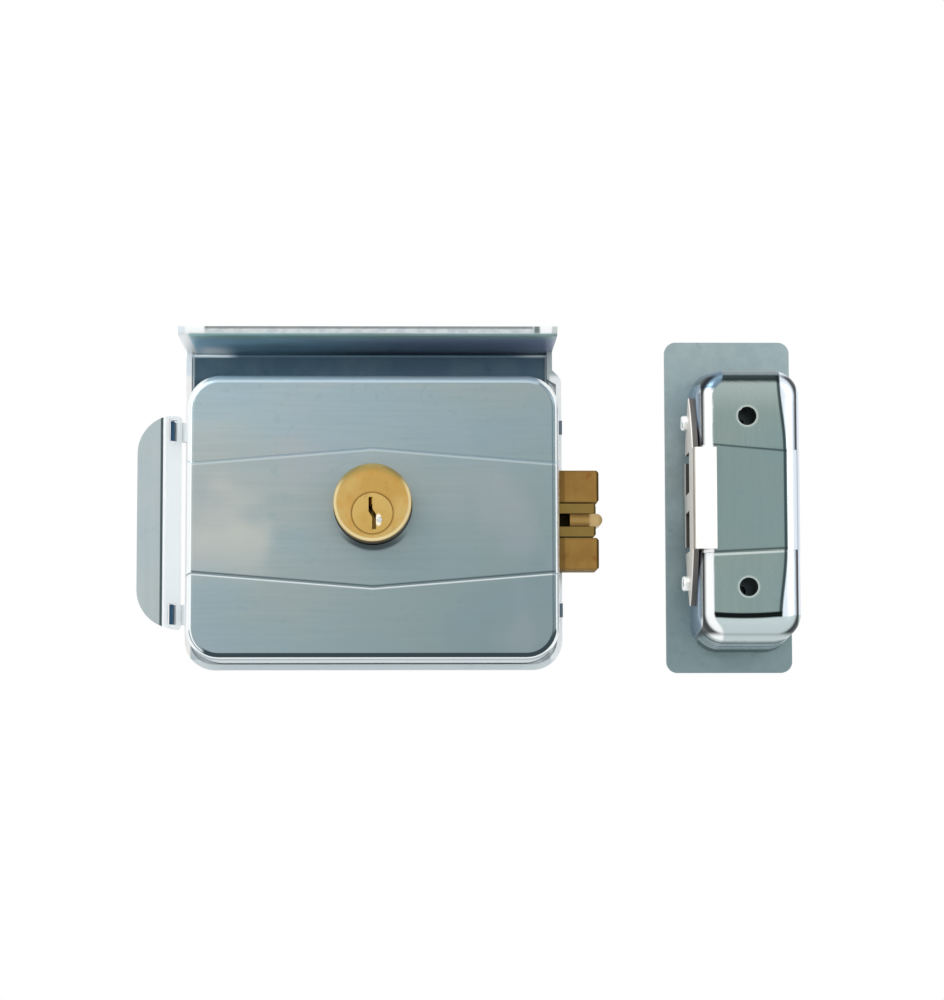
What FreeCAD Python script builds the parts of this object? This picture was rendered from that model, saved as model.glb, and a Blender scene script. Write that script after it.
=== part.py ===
"""Surface-mounted electric gate lock with its keeper, in millimetres.

Frame: +Z up, +X towards the keeper, the front of the lock faces -Y.
The origin is the key axis where it meets the back plane (the gate face, y = 0).
"""

import FreeCAD, Part

import math
import os

from FreeCAD import Vector

# Overall sizes of the lock case.
case_width = 140.0
case_height = 108.6
case_corner_r = 11.0
plate_sheet = 2.0
rim_depth = 8.0
rim_bend_r = 2.4
plate_step_r = 3.4
cover_sheet = 1.5
cover_gap = 0.3
cover_depth = 37.0
cover_lean_x = 2.3
cover_lean_z = 3.6
cover_corner_r = 12.0
cover_edge_r = 3.0

# The raised band across the cover: its half height at the sides and in the middle.
band_rise = 1.0
band_half_side = 20.4
band_half_middle = 26.0
band_drop = 0.5

# Rain canopy on top of the back plate.
canopy_short = 3.4
canopy_above_case = 10.3
canopy_reach = 50.0
canopy_bend_r = 3.0
canopy_lip_height = 3.2
canopy_lip_r = 0.8
relief_size = 2.4

# Fixing holes, cable hole and the hole for the tail of an outer cylinder.
fixing_hole_r = 2.75
fixing_from_side = 11.5
fixing_from_end = 10.3
cable_hole_r = 5.0
cable_hole_from_side = 48.0
cable_hole_from_top = 14.3
outer_cylinder_hole_r = 5.0

# Key cylinder. Its plug sits below the middle of the round body.
cylinder_r = 14.0
cylinder_rise = 4.0
cylinder_stand = 15.0
cylinder_edge = 1.2
cylinder_hole_gap = 0.3
plug_r = 7.4
plug_gap = 0.05
plug_proud = 0.2
plug_tail_r = 4.0
keyway_width = 1.4
keyway_height = 10.4
keyway_step = 1.3
anti_drill_r = 0.9
anti_drill_x = 2.6
anti_drill_z = -2.4
anti_drill_length = 6.0
tumbler_r = 1.4
tumbler_gap = 0.05
tumbler_count = 5
tumbler_pitch = 4.0
tumbler_first = 6.0
tumbler_top = 13.5
cylinder_screw_r = 1.5
cylinder_screw_x = 10.4
cylinder_screw_z = 0.5
cylinder_screw_length = 8.0
cylinder_screw_head_r = 2.5

# Bridge plate that carries the cylinder over the mechanism.
bridge_front_y = -27.0
bridge_sheet = 2.0
bridge_width = 72.0
bridge_low_z = -27.0
bridge_high_z = 31.0
bridge_corner_r = 5.0
post_r = 3.0
post_x = 30.0
post_low_z = -22.0
post_high_z = 24.0
bridge_screw_head_r = 2.8
bridge_screw_grip = 5.0
screw_head_height = 1.6

# Bolt: two brass blocks riveted to a sliding steel tail plate.
bolt_height = 36.5
bolt_depth = 16.0
bolt_back_y = -8.0
bolt_reach = 12.8
bolt_block_length = 38.8
bolt_travel = 14.5
bolt_edge = 0.8
block_height = 11.7
block_gap = 0.5
tail_sheet = 3.0
tail_end_x = -4.0
tail_under_bolt = 18.0
tail_half_height = 17.0
rack_height = 7.0
rack_sheet = 2.0
rack_length = 40.0
rack_notch_x = 15.5
rack_notch_length = 7.0
tail_slot_half = 5.4
tail_corner_r = 3.0
rack_start = 3.0
rack_notch_floor = 2.0
rivet_r = 2.0
rivet_head_r = 3.4
rivet_head_height = 1.2
rivet_depth = 6.0
rivet_first = 5.0
rivet_pitch = 9.0
rivet_z = 12.4
guide_x = 24.0
guide_zs = (-8.5, 9.5)
guide_r = 2.5
guide_head_r = 4.0
guide_head_height = 1.5
running_gap = 0.3
fit_gap = 0.05

# Sprung trigger between the two bolt blocks.
trigger_setback = 1.1
nose_reach = 1.3
nose_length = 11.9
nose_height = 4.7
nose_gap = 0.1
nose_pocket_length = 15.7
nose_floor_y = -12.0
pin_r = 1.25
nose_pin_from_end = 4.0
nose_pin_depth = 6.5
nose_front_gap = 0.3
trigger_tail_x = 20.0
trigger_tail_half = 2.2
trigger_tail_front_y = -17.0
trigger_tail_back_y = -12.0
trigger_tail_inset = 6.0
trigger_foot_sheet = 2.0
trigger_foot_low_z = -11.0
trigger_foot_high_z = 3.2
trigger_foot_front_y = -20.3
trigger_foot_back_y = -11.3
trigger_foot_corner_r = 1.0
trigger_spring_y = -17.5
trigger_spring_z = -8.3
spigot_r = 1.5
spigot_length = 4.0

# Crank on the back of the plug that draws the bolt.
crank_radius = 10.25
crank_pin_r = 2.5
crank_rest_deg = 45.0
crank_disc_r = 7.0
crank_thickness = 2.6
crank_pin_end_y = -12.0
crank_lug_gap = 0.6
crank_lug_width = 4.0
crank_lug_low_z = 5.6
crank_lug_high_z = 13.0
crank_lug_height = 13.5
cam_screw_r = 5.2
cam_screw_height = 1.4

# Springs and their bracket.
bracket_x = -23.0
bracket_sheet = 2.0
bracket_foot = 12.0
bracket_low_z = -19.0
bracket_high_z = 6.0
bracket_height = 18.5
spring_lug_x = 17.0
spring_lug_low_z = -17.0
spring_lug_high_z = -11.6
spring_lug_reach = 10.0
spring_lug_half = 1.0
spring_lug_corner_r = 2.5
rod_r = 1.5
rod_y = -13.0
rod_height_z = -14.5
rod_end_x = 22.0
spring_wire_r = 0.45
spring_room = 1.0
slide_spring_turns = 9
rod_head_height = 1.6
rod_head_wider = 1.4
bracket_bend_r = 3.0

# Electromagnet, its armature and the pawl.
coil_from_side = 19.0
coil_length = 28.0
coil_z = 38.0
coil_y = -14.0
coil_r = 9.0
coil_flange = 1.5
winding_r = 8.4
winding_core_r = 5.4
armature_r = 4.0
armature_gap = 0.4
armature_tube_wall = 0.9
armature_plunge = 20.0
armature_rod_r = 1.5
yoke_sheet = 2.0
yoke_width = 20.0
yoke_bend_r = 2.8
yoke_front_room = 1.0
armature_proud = 4.0
armature_spring_pitch = 2.5
armature_wire_r = 0.36
armature_spring_r = 2.7
fork_half = 2.3
fork_wall = 1.6
fork_height = 4.8
fork_room = 1.0
fork_bridge = 1.4
pawl_pivot_x = 2.0
pawl_pivot_z = 26.0
pawl_arm = 12.0
pawl_tip_r = 2.0
pawl_sheet = 3.0
pawl_back_y = -11.0
pawl_hub_r = 3.4
pawl_pin_r = 1.5
pawl_neck = 2.1
pawl_nose_x = 2.5
pawl_nose_half = 1.2
pawl_nose_corner_r = 0.5
pawl_root_left = 2.4
pawl_root_right = 3.0
pawl_shoulder = 1.2

# Terminal block.
terminal_from_side = 40.0
terminal_z = 31.0
terminal_length = 20.0
terminal_height = 12.0
terminal_row_z = 7.2
terminal_depth = 12.0
terminal_pitch = 9.0
terminal_screw_r = 2.2
terminal_corner_r = 1.0
terminal_well_depth = 7.0
terminal_wire_hole = 4.0
terminal_screw_sunk = 2.6
terminal_shank_r = 1.3
terminal_shank_length = 4.3

# Side plates inside the case and the bracket on its left.
side_plate_sheet = 2.0
side_plate_half = 37.0
side_plate_front_y = -33.0
side_plate_corner_r = 1.5
side_foot = 8.0
side_foot_low_z = 22.0
stake_z = 33.5
stake_height = 5.0
stake_width = 2.4
stake_y = -29.0
stake_proud = 1.4
hook_z = 34.0
hook_height = 7.4
hook_y = -8.8
hook_sheet = 1.4
hook_reach = 5.3
hook_tip_y = -13.8
hook_slot_width = 2.8
wing_reach = 17.0
wing_bend_reach = 7.3
wing_side_gap = 1.2
wing_front_y = -18.3
wing_right_y = -11.8
wing_bend_r = 3.0
wing_sheet = 1.5
wing_height = 79.0
wing_corner_r = 14.4
wing_inner_corner_r = 1.2
wing_slot_height = 7.8

# Keeper: base plate, pressed cover and adjustable strike insert.
keeper_z = 6.8
keeper_base_left_x = 109.2
keeper_base_width = 47.0
keeper_base_height = 124.4
keeper_base_corner_r = 4.2
keeper_left_x = 118.3
keeper_width = 37.6
keeper_height = 98.0
keeper_cover_drop = 2.0
keeper_depth = 37.0
keeper_flare = 3.5
keeper_draft = 0.6
keeper_corner_r = 10.0
keeper_edge_r = 6.0
keeper_sheet = 1.5
keeper_band_rise = 0.9
keeper_band_half_left = 20.0
keeper_band_half_right = 17.4
keeper_band_low_extra = 1.0
keeper_band_overrun = 5.0
keeper_hole_r = 3.4
keeper_hole_x = 136.3
keeper_hole_spacing = 62.4
keeper_hole_drop = 1.0
keeper_fixing_r = 2.75
keeper_fixing_spacing = 80.0
pillar_r = 4.0
pillar_length = 10.0
pillar_thread_r = 1.65
pillar_thread_depth = 8.0
mouth_height = 37.0
mouth_back_y = -6.5
insert_sheet = 2.2
insert_half = 38.4
insert_back_y = -5.0
insert_lip_width = 8.6
window_height = 15.0
window_bar = 6.7
window_depth = 17.0
insert_screw_z = 29.8
insert_screw_r = 1.6
insert_screw_head_r = 2.9
insert_screw_head = 2.2
insert_screw_y = -16.65
insert_screw_reach = 2.0
mouth_gap = 0.6

# Values that follow from the sizes above.
half_case = case_width / 2
case_top_z = case_height / 2
cover_front_y = -(cover_depth + band_rise)
cover_half_front = half_case - cover_lean_x
cover_half_height = case_top_z - cover_lean_z
cover_rear_half_x = half_case - plate_sheet - cover_gap
cover_rear_half_z = case_top_z - plate_sheet - cover_gap
canopy_right_x = half_case - canopy_short
canopy_underside_z = case_top_z + canopy_above_case
cover_inside_x = cover_half_front - cover_sheet
cylinder_front_y = cover_front_y - cylinder_stand
bridge_back_y = bridge_front_y + bridge_sheet
bolt_front_y = bolt_back_y - bolt_depth
bolt_tip_x = half_case + bolt_reach
bolt_rear_x = bolt_tip_x - bolt_block_length
tail_front_x = bolt_rear_x + tail_under_bolt
rivet_xs = (bolt_rear_x + rivet_first, bolt_rear_x + rivet_first + rivet_pitch)
tail_back_y = bolt_back_y + tail_sheet
trigger_half = bolt_height / 2 - block_height - block_gap
trigger_tip_x = bolt_tip_x - trigger_setback
nose_pocket_x = trigger_tip_x - nose_pocket_length
nose_tip_x = bolt_tip_x + nose_reach
crank_rest = math.radians(crank_rest_deg)
crank_pin_x = crank_radius * math.sin(crank_rest)
crank_pin_z = crank_radius * math.cos(crank_rest)
crank_lug_x = crank_pin_x - crank_pin_r - crank_lug_gap - crank_lug_width
rack_top_z = tail_half_height + 1.0
rivet_zs = (-rivet_z, rivet_z)
trigger_y = (trigger_tail_front_y + trigger_tail_back_y) / 2
side_plate_x = cover_inside_x - cover_gap - side_plate_sheet
coil_x = coil_from_side - half_case
terminal_x = half_case - terminal_from_side
hook_end_x = -half_case - hook_reach
wing_left_x = -half_case - wing_reach
wing_bend_x = -half_case - wing_bend_reach
wing_right_x = -half_case - wing_side_gap
keeper_right_x = keeper_left_x + keeper_width
keeper_front_y = -(keeper_depth + keeper_band_rise)
insert_left_x = keeper_left_x - insert_sheet


# Outlines. A corner is (u, v, radius); a plane maps (u, v) to space at offset w.

def in_xz(u, v, w):
    return Vector(u, w, v)


def in_yz(u, v, w):
    return Vector(w, u, v)


def in_xy(u, v, w):
    return Vector(u, v, w)


def rounded_wire(corners, plane, w):
    """Closed wire through the corners, each rounded by a tangent arc."""
    count = len(corners)
    points = [plane(u, v, w) for u, v, r in corners]
    starts, ends, arcs = [], [], []
    for i in range(count):
        here = points[i]
        back = (points[i - 1] - here).normalize()
        on = (points[(i + 1) % count] - here).normalize()
        r = corners[i][2]
        half = back.getAngle(on) / 2
        if r <= 0:
            starts.append(here)
            ends.append(here)
            arcs.append(None)
            continue
        run = r / math.tan(half)
        middle = (back + on).normalize() * (r / math.sin(half) - r)
        starts.append(here + back * run)
        ends.append(here + on * run)
        arcs.append(here + middle)
    edges = []
    for i in range(count):
        if arcs[i] is not None:
            edges.append(Part.Arc(starts[i], arcs[i], ends[i]).toShape())
        after = starts[(i + 1) % count]
        if ends[i].distanceToPoint(after) > 1e-6:
            edges.append(Part.LineSegment(ends[i], after).toShape())
    return Part.Wire(edges)


def prism(corners, plane, low, high):
    """Solid between two parallel planes, with the rounded outline as its section."""
    face = Part.Face(rounded_wire(corners, plane, low))
    return face.extrude(plane(0, 0, high) - plane(0, 0, low))


def loft(low_corners, high_corners, plane, low, high):
    """Tapered solid between two rounded outlines."""
    wires = [rounded_wire(low_corners, plane, low), rounded_wire(high_corners, plane, high)]
    return Part.makeLoft(wires, True, True)


def frame_corners(u0, u1, v0, v1, r):
    """The four corners of a rounded rectangle."""
    return [(u0, v0, r), (u1, v0, r), (u1, v1, r), (u0, v1, r)]


def box(x0, x1, y0, y1, z0, z1):
    return Part.makeBox(x1 - x0, y1 - y0, z1 - z0, Vector(x0, y0, z0))


def rod_x(x0, x1, y, z, r):
    return Part.makeCylinder(r, x1 - x0, Vector(x0, y, z), Vector(1, 0, 0))


def rod_y_axis(y0, y1, x, z, r):
    return Part.makeCylinder(r, y1 - y0, Vector(x, y0, z), Vector(0, 1, 0))


def rod_z(z0, z1, x, y, r):
    return Part.makeCylinder(r, z1 - z0, Vector(x, y, z0), Vector(0, 0, 1))


def sheet_corners(path, thickness):
    """Outline of a bent sheet along a path of (u, v, bend radius).

    One face follows the path. The other lies to its right, or to its left if the thickness is negative.
    """
    near, far = [], []
    last = len(path) - 1
    for i, (u, v, r) in enumerate(path):
        here = Vector(u, v, 0)
        back = Vector(*path[max(i - 1, 0)][:2], 0)
        on = Vector(*path[min(i + 1, last)][:2], 0)
        into = (here - back).normalize() if i > 0 else (on - here).normalize()
        out = (on - here).normalize() if i < last else into
        turn = into.x * out.y - into.y * out.x
        across = Vector(into.y + out.y, -into.x - out.x, 0)
        other = here + across * (2 * thickness / across.dot(across))
        bend = 0 < i < last
        near.append((u, v, r if bend else 0))
        far.append((other.x, other.y, r + math.copysign(thickness, turn * thickness) if bend else 0))
    return near + far[::-1]


def edges_where(shape, test):
    """Edges whose ends and middle all pass the test."""
    chosen = []
    for edge in shape.Edges:
        middle = edge.valueAt((edge.FirstParameter + edge.LastParameter) / 2)
        points = [vertex.Point for vertex in edge.Vertexes] + [middle]
        if all(test(p) for p in points):
            chosen.append(edge)
    return chosen


def fuse_all(shapes):
    joined = shapes[0].fuse(shapes[1:]) if len(shapes) > 1 else shapes[0]
    return joined.removeSplitter()


def helical_spring(start, end, y, z, coil_r, wire_r, turns):
    """Open coil spring along X between two faces, with its wire ends just clear of them."""
    length = (end - start) - 2 * (wire_r + fit_gap)
    helix = Part.makeHelix(length / turns, length, coil_r)
    section = Part.Wire(Part.makeCircle(wire_r, Vector(coil_r, 0, 0), Vector(0, 1, 0)))
    spring = Part.Wire(helix.Edges).makePipeShell([section], True, True)
    spring.rotate(Vector(0, 0, 0), Vector(0, 1, 0), 90)
    spring.translate(Vector(start + wire_r + fit_gap, y, z))
    return spring


def pan_head_screw_y(x, z, head_y, direction, shank_r, head_r, length):
    """Slotted screw along Y: the head stands at head_y, the shank runs in the direction given."""
    shank_end = head_y + direction * length
    shank = rod_y_axis(min(head_y, shank_end), max(head_y, shank_end), x, z, shank_r)
    top = head_y - direction * screw_head_height
    head = rod_y_axis(min(head_y, top), max(head_y, top), x, z, head_r)
    slot_low = min(top, top + direction * screw_head_height / 2)
    slot_high = max(top, top + direction * screw_head_height / 2)
    slot = box(x - head_r, x + head_r, slot_low, slot_high, z - 0.3, z + 0.3)
    return fuse_all([head.cut(slot), shank])


# The case.

def fixing_points():
    x, z = half_case - fixing_from_side, case_top_z - fixing_from_end
    return [(sx * x, sz * z) for sx in (-1, 1) for sz in (-1, 1)]


def base_plate():
    """Pressed back plate: panel, rim on three sides, side flanges and the rain canopy."""
    bend_z = canopy_underside_z + plate_sheet - canopy_bend_r
    top_z = bend_z
    r = case_corner_r
    outline = [
        (-half_case, -case_top_z, r),
        (half_case, -case_top_z, r),
        (half_case, case_top_z, plate_step_r),
        (canopy_right_x, case_top_z + plate_step_r, 0),
        (canopy_right_x, top_z, 0),
        (-half_case, top_z, 0),
    ]
    tray = prism(outline, in_xz, -rim_depth, 0)
    rear = edges_where(tray, lambda p: abs(p.y) < 0.01)
    tray = tray.makeFillet(rim_bend_r, [e for e in rear if e.CenterOfMass.z < top_z - 0.01])
    s = plate_sheet
    pocket = [
        (-half_case + s, -case_top_z + s, r - s),
        (half_case - s, -case_top_z + s, r - s),
        (half_case - s, case_top_z - s, 0),
        (canopy_right_x - s, case_top_z, 0),
        (canopy_right_x - s, top_z + 1, 0),
        (-half_case + s, top_z + 1, 0),
    ]
    tray = tray.cut(prism(pocket, in_xz, -rim_depth - 1, -s))
    lip_top = canopy_underside_z + canopy_lip_height
    path = [
        (0.0, top_z, 0),
        (0.0, canopy_underside_z + s, canopy_bend_r),
        (-canopy_reach + s, canopy_underside_z + s, canopy_lip_r),
        (-canopy_reach + s, lip_top, 0),
    ]
    canopy = prism(sheet_corners(path, -s), in_yz, -half_case, canopy_right_x)
    flanges = []
    for x in (-half_case, canopy_right_x - s):
        flange = box(x, x + s, -rim_depth, -s / 2, top_z, canopy_underside_z + s / 2)
        flanges.append(flange)
    plate = fuse_all([tray, canopy] + flanges)
    relief_z = canopy_underside_z - relief_size
    notch_x = -half_case - relief_size / 2
    notch = box(notch_x, notch_x + relief_size * 2, -rim_depth - 1, -rim_depth + relief_size, relief_z,
                canopy_underside_z)
    cuts = [notch, rod_y_axis(-s - 1, 1, 0, 0, outer_cylinder_hole_r)]
    cuts.append(rod_y_axis(-s - 1, 1, half_case - cable_hole_from_side, case_top_z - cable_hole_from_top,
                           cable_hole_r))
    cuts += [rod_y_axis(-s - 1, 1, x, z, fixing_hole_r) for x, z in fixing_points()]
    return plate.cut(cuts)


def cover_form(inset, front_y, rear_y):
    """Drafted box form of the cover, drawn in from the outside by the inset."""
    r = cover_corner_r - inset
    rear = frame_corners(-cover_rear_half_x + inset, cover_rear_half_x - inset, -cover_rear_half_z + inset,
                         cover_rear_half_z - inset, case_corner_r - plate_sheet - cover_gap - inset)
    front = frame_corners(-cover_half_front + inset, cover_half_front - inset, -cover_half_height + inset,
                          cover_half_height - inset, r)
    form = loft(rear, front, in_xz, rear_y, front_y)
    edges = edges_where(form, lambda p: abs(p.y - front_y) < 0.01)
    return form.makeFillet(max(cover_edge_r - inset, 0.5), edges)


def band_prism(half_width, grow, front_y, back_y):
    """Chevron-edged prism of the raised band, wider at the back so that its edges slope."""
    def corners(extra):
        side, middle = band_half_side + extra, band_half_middle + extra
        low = [(-half_width, -side), (0, -middle), (half_width, -side)]
        high = [(half_width, side), (0, middle), (-half_width, side)]
        return [(u, v - band_drop, 0) for u, v in low + high]

    return loft(corners(grow), corners(0), in_xz, back_y, front_y)


def case_cover():
    """Pressed cover with a raised chevron band, the cylinder hole and the bolt mouth."""
    rear_y = -plate_sheet
    s = cover_sheet
    forms = []
    for inset in (0, s):
        field = cover_form(inset, -cover_depth + inset, rear_y)
        full = cover_form(inset, cover_front_y + inset, rear_y)
        band = band_prism(case_width, band_rise, cover_front_y + inset, -cover_depth + inset)
        deep = prism([(-case_width, -band_half_side, 0), (case_width, -band_half_side, 0),
                      (case_width, band_half_side, 0), (-case_width, band_half_side, 0)], in_xz,
                     -cover_depth + inset, -cover_depth + inset + cover_edge_r)
        forms.append(fuse_all([field, full.common(fuse_all([band, deep]))]))
    cover = forms[0].cut(forms[1])
    hole_y = cover_front_y - 1
    cylinder_hole = rod_y_axis(hole_y, hole_y + 6, 0, cylinder_rise, cylinder_r + cylinder_hole_gap)
    g = running_gap + 0.1
    half = bolt_height / 2 + g
    right = cover_inside_x - 1
    mouth = box(right, half_case, bolt_front_y - g, bolt_back_y + g, -half, half)
    cuts = [cylinder_hole, mouth]
    for side in (-1, 1):
        cuts.append(stake(side, running_gap, half_case))
        cuts.append(hook_neck(side, running_gap, -half_case))
    return cover.cut(cuts)


def stake(side, grow, end_x):
    """Staked tab of the bolt side plate, also used grown as its slot in the cover."""
    z = side * stake_z
    height = stake_height / 2 + grow
    width = stake_width / 2 + grow
    return box(side_plate_x + side_plate_sheet, end_x, stake_y - width, stake_y + width,
               z - height, z + height)


def hook_neck(side, grow, end_x):
    """Neck of a hook tab of the left side plate, also used grown as its slot in the cover."""
    z = side * hook_z
    height = hook_height / 2 + grow
    width = hook_sheet / 2 + grow
    return box(end_x, -side_plate_x, hook_y - width, hook_y + width, z - height, z + height)


def hook(side):
    """Hook tab: its neck runs behind the side bracket and its turned tip sits in the slot."""
    z = side * hook_z
    height = hook_height / 2
    tip = box(hook_end_x, hook_end_x + hook_sheet, hook_tip_y, hook_y + hook_sheet / 2,
              z - height, z + height)
    return fuse_all([hook_neck(side, 0, hook_end_x), tip])


def side_plate_feet(x0, x1):
    back = -plate_sheet
    front = back - side_plate_sheet
    feet = []
    for side in (-1, 1):
        low, high = sorted((side * side_foot_low_z, side * side_plate_half))
        feet.append(box(x0, x1, front, back, low, high))
    return feet


def side_plate_corners():
    return frame_corners(side_plate_front_y, -plate_sheet, -side_plate_half, side_plate_half,
                         side_plate_corner_r)


def bolt_side_plate():
    """Upright plate behind the bolt mouth, with feet on the back plate and two staked tabs."""
    x0, x1 = side_plate_x, side_plate_x + side_plate_sheet
    plate = prism(side_plate_corners(), in_yz, x0, x1)
    g = running_gap
    half = bolt_height / 2 + g
    plate = plate.cut(box(x0 - 1, x1 + 1, bolt_front_y - g, bolt_back_y + g, -half, half))
    end_x = cover_half_front + stake_proud
    stakes = [stake(side, 0, end_x) for side in (-1, 1)]
    return fuse_all([plate] + side_plate_feet(x0 - side_foot, x0 + 0.5) + stakes)


def left_side_plate():
    """Upright plate at the left of the case, with two hook tabs that carry the side bracket."""
    x0, x1 = -side_plate_x - side_plate_sheet, -side_plate_x
    plate = prism(side_plate_corners(), in_yz, x0, x1)
    hooks = [hook(side) for side in (-1, 1)]
    return fuse_all([plate] + side_plate_feet(x1 - 0.5, x1 + side_foot) + hooks)


def side_bracket():
    """Folded wing on the left: a flat in front, a bend and a strip that slopes back to the case."""
    path = [
        (wing_left_x, wing_front_y, 0),
        (wing_bend_x, wing_front_y, wing_bend_r),
        (wing_right_x, wing_right_y, 0),
    ]
    half = wing_height / 2
    section = sheet_corners(path, -wing_sheet)
    sheet = prism(section, in_xy, -half, half)
    outline = [
        (wing_left_x, -half, wing_corner_r),
        (wing_right_x, -half, wing_inner_corner_r),
        (wing_right_x, half, wing_inner_corner_r),
        (wing_left_x, half, wing_corner_r),
    ]
    wing = sheet.common(prism(outline, in_xz, wing_front_y - wing_sheet, 0))
    slots = []
    for side in (-1, 1):
        z = side * hook_z
        height = wing_slot_height / 2
        slots.append(box(hook_end_x - running_gap, hook_end_x - running_gap + hook_slot_width,
                         wing_front_y - 1, 0, z - height, z + height))
    return wing.cut(slots)


# The key cylinder.

def cylinder_body():
    """Round brass body, bored off centre for the plug and drilled for the tumbler pins."""
    body = rod_y_axis(cylinder_front_y, bridge_front_y, 0, cylinder_rise, cylinder_r)
    front = edges_where(body, lambda p: abs(p.y - cylinder_front_y) < 0.01)
    body = body.makeChamfer(cylinder_edge, front)
    cuts = [rod_y_axis(cylinder_front_y - 1, bridge_front_y + 1, 0, 0, plug_r + plug_gap)]
    for i in range(tumbler_count):
        y = cylinder_front_y + tumbler_first + i * tumbler_pitch
        cuts.append(rod_z(0, tumbler_top + 1.5, 0, y, tumbler_r + tumbler_gap))
    for side in (-1, 1):
        cuts.append(rod_y_axis(bridge_front_y - cylinder_screw_length - 1, bridge_front_y + 1,
                               side * cylinder_screw_x, cylinder_screw_z, cylinder_screw_r + fit_gap))
    return body.cut(cuts)


def keyway(y0, y1):
    """Stepped keyway slot, an offset upper and lower leg joined by a sloping middle."""
    w = keyway_width / 2
    top = keyway_height / 2 + 0.6
    low = -keyway_height / 2 - 0.6
    s = keyway_step / 2
    points = [(-w - s, top), (w - s, top), (w - s, 1.6), (w + s, -0.4), (w + s, low), (-w + s, low),
              (-w + s, -1.4), (-w - s, 0.6)]
    return prism([(u, v, 0.2) for u, v in points], in_xz, y0, y1)


def cylinder_plug():
    """Turning brass plug with its keyway, pin holes and the tail that carries the crank."""
    front = cylinder_front_y - plug_proud
    plug = rod_y_axis(front, bridge_front_y - plug_gap, 0, 0, plug_r)
    tail = rod_y_axis(bridge_front_y - 1, bridge_back_y + running_gap + crank_thickness, 0, 0, plug_tail_r)
    plug = fuse_all([plug, tail])
    edge = edges_where(plug, lambda p: abs(p.y - front) < 0.01)
    plug = plug.makeChamfer(0.3, edge)
    cuts = [keyway(front - 1, bridge_front_y - 2)]
    for i in range(tumbler_count):
        y = cylinder_front_y + tumbler_first + i * tumbler_pitch
        cuts.append(rod_z(0, plug_r + 1, 0, y, tumbler_r + tumbler_gap))
    cuts.append(rod_y_axis(front - 1, front + anti_drill_length, anti_drill_x, anti_drill_z,
                           anti_drill_r + fit_gap))
    return plug.cut(cuts)


def anti_drill_pin():
    """Hard steel pin pressed into the face of the plug beside the keyway."""
    front = cylinder_front_y - plug_proud
    pin = rod_y_axis(front - 0.1, front + anti_drill_length, anti_drill_x, anti_drill_z, anti_drill_r)
    edge = edges_where(pin, lambda p: abs(p.y - (front - 0.1)) < 0.01)
    return pin.makeFillet(0.3, edge)


def tumbler_pins(low, high, tip):
    """Row of round-tipped pins, one in each chamber."""
    pins = []
    for i in range(tumbler_count):
        y = cylinder_front_y + tumbler_first + i * tumbler_pitch
        cone = Part.makeCone(tip, tumbler_r, 1.0, Vector(0, y, low), Vector(0, 0, 1))
        pins.append(fuse_all([cone, rod_z(low + 1.0, high - i % 2 * 0.4, 0, y, tumbler_r)]))
    return Part.makeCompound(pins)


def key_pins():
    return tumbler_pins(2.6, plug_r - 0.25, 0.5)


def driver_pins():
    return tumbler_pins(plug_r + plug_gap + 0.1, tumbler_top, 1.0)


def cylinder_screws():
    """Two screws through the bridge plate into the back of the cylinder body."""
    length = bridge_sheet + cylinder_screw_length
    screws = [pan_head_screw_y(side * cylinder_screw_x, cylinder_screw_z, bridge_back_y, -1, cylinder_screw_r,
                               cylinder_screw_head_r, length) for side in (-1, 1)]
    return Part.makeCompound(screws)


def plug_cam():
    """Steel crank on the plug's tail. Its pin draws the bolt when the key turns."""
    front = bridge_back_y + running_gap
    back = front + crank_thickness
    disc = rod_y_axis(front, back, 0, 0, crank_disc_r)
    arm_end = rod_y_axis(front, back, crank_pin_x, crank_pin_z, crank_pin_r + 0.8)
    reach = crank_radius
    arm = box(-crank_pin_r, crank_pin_r, front, back, 0, reach)
    arm.rotate(Vector(0, 0, 0), Vector(0, 1, 0), crank_rest_deg)
    pin = rod_y_axis(back - 0.5, crank_pin_end_y, crank_pin_x, crank_pin_z, crank_pin_r)
    crank = fuse_all([disc, arm_end, arm, pin])
    return crank.cut(rod_y_axis(front - 1, back + 1, 0, 0, plug_tail_r + 0.02))


def cam_screw():
    """Screw that holds the crank on the tail of the plug."""
    back = bridge_back_y + running_gap + crank_thickness
    head = rod_y_axis(back, back + cam_screw_height, 0, 0, cam_screw_r)
    slot = box(-cam_screw_r, cam_screw_r, back + cam_screw_height / 2, back + cam_screw_height, -0.4, 0.4)
    return head.cut(slot)


# The bridge plate over the mechanism.

def post_points():
    return [(x, z) for x in (-post_x, post_x) for z in (post_low_z, post_high_z)]


def bridge_plate():
    """Flat steel plate on four posts that carries the cylinder."""
    plate = prism(frame_corners(-bridge_width / 2, bridge_width / 2, bridge_low_z, bridge_high_z,
                                bridge_corner_r), in_xz, bridge_front_y, bridge_back_y)
    low, high = bridge_front_y - 1, bridge_back_y + 1
    cuts = [rod_y_axis(low, high, 0, 0, plug_tail_r + running_gap)]
    cuts += [rod_y_axis(low, high, x, z, post_r / 2 + fit_gap) for x, z in post_points()]
    cuts += [rod_y_axis(low, high, side * cylinder_screw_x, cylinder_screw_z, cylinder_screw_r + fit_gap)
             for side in (-1, 1)]
    return plate.cut(cuts)


def bridge_posts():
    """Four turned posts from the back plate to the bridge plate, drilled for its screws."""
    posts = []
    for x, z in post_points():
        post = rod_y_axis(bridge_back_y, -plate_sheet, x, z, post_r)
        posts.append(post.cut(rod_y_axis(bridge_back_y - 1, bridge_back_y + 6, x, z, post_r / 2 + fit_gap)))
    return Part.makeCompound(posts)


def bridge_screws():
    length = bridge_sheet + bridge_screw_grip
    screws = [pan_head_screw_y(x, z, bridge_front_y, 1, post_r / 2, bridge_screw_head_r, length)
              for x, z in post_points()]
    return Part.makeCompound(screws)


# The bolt.

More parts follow.
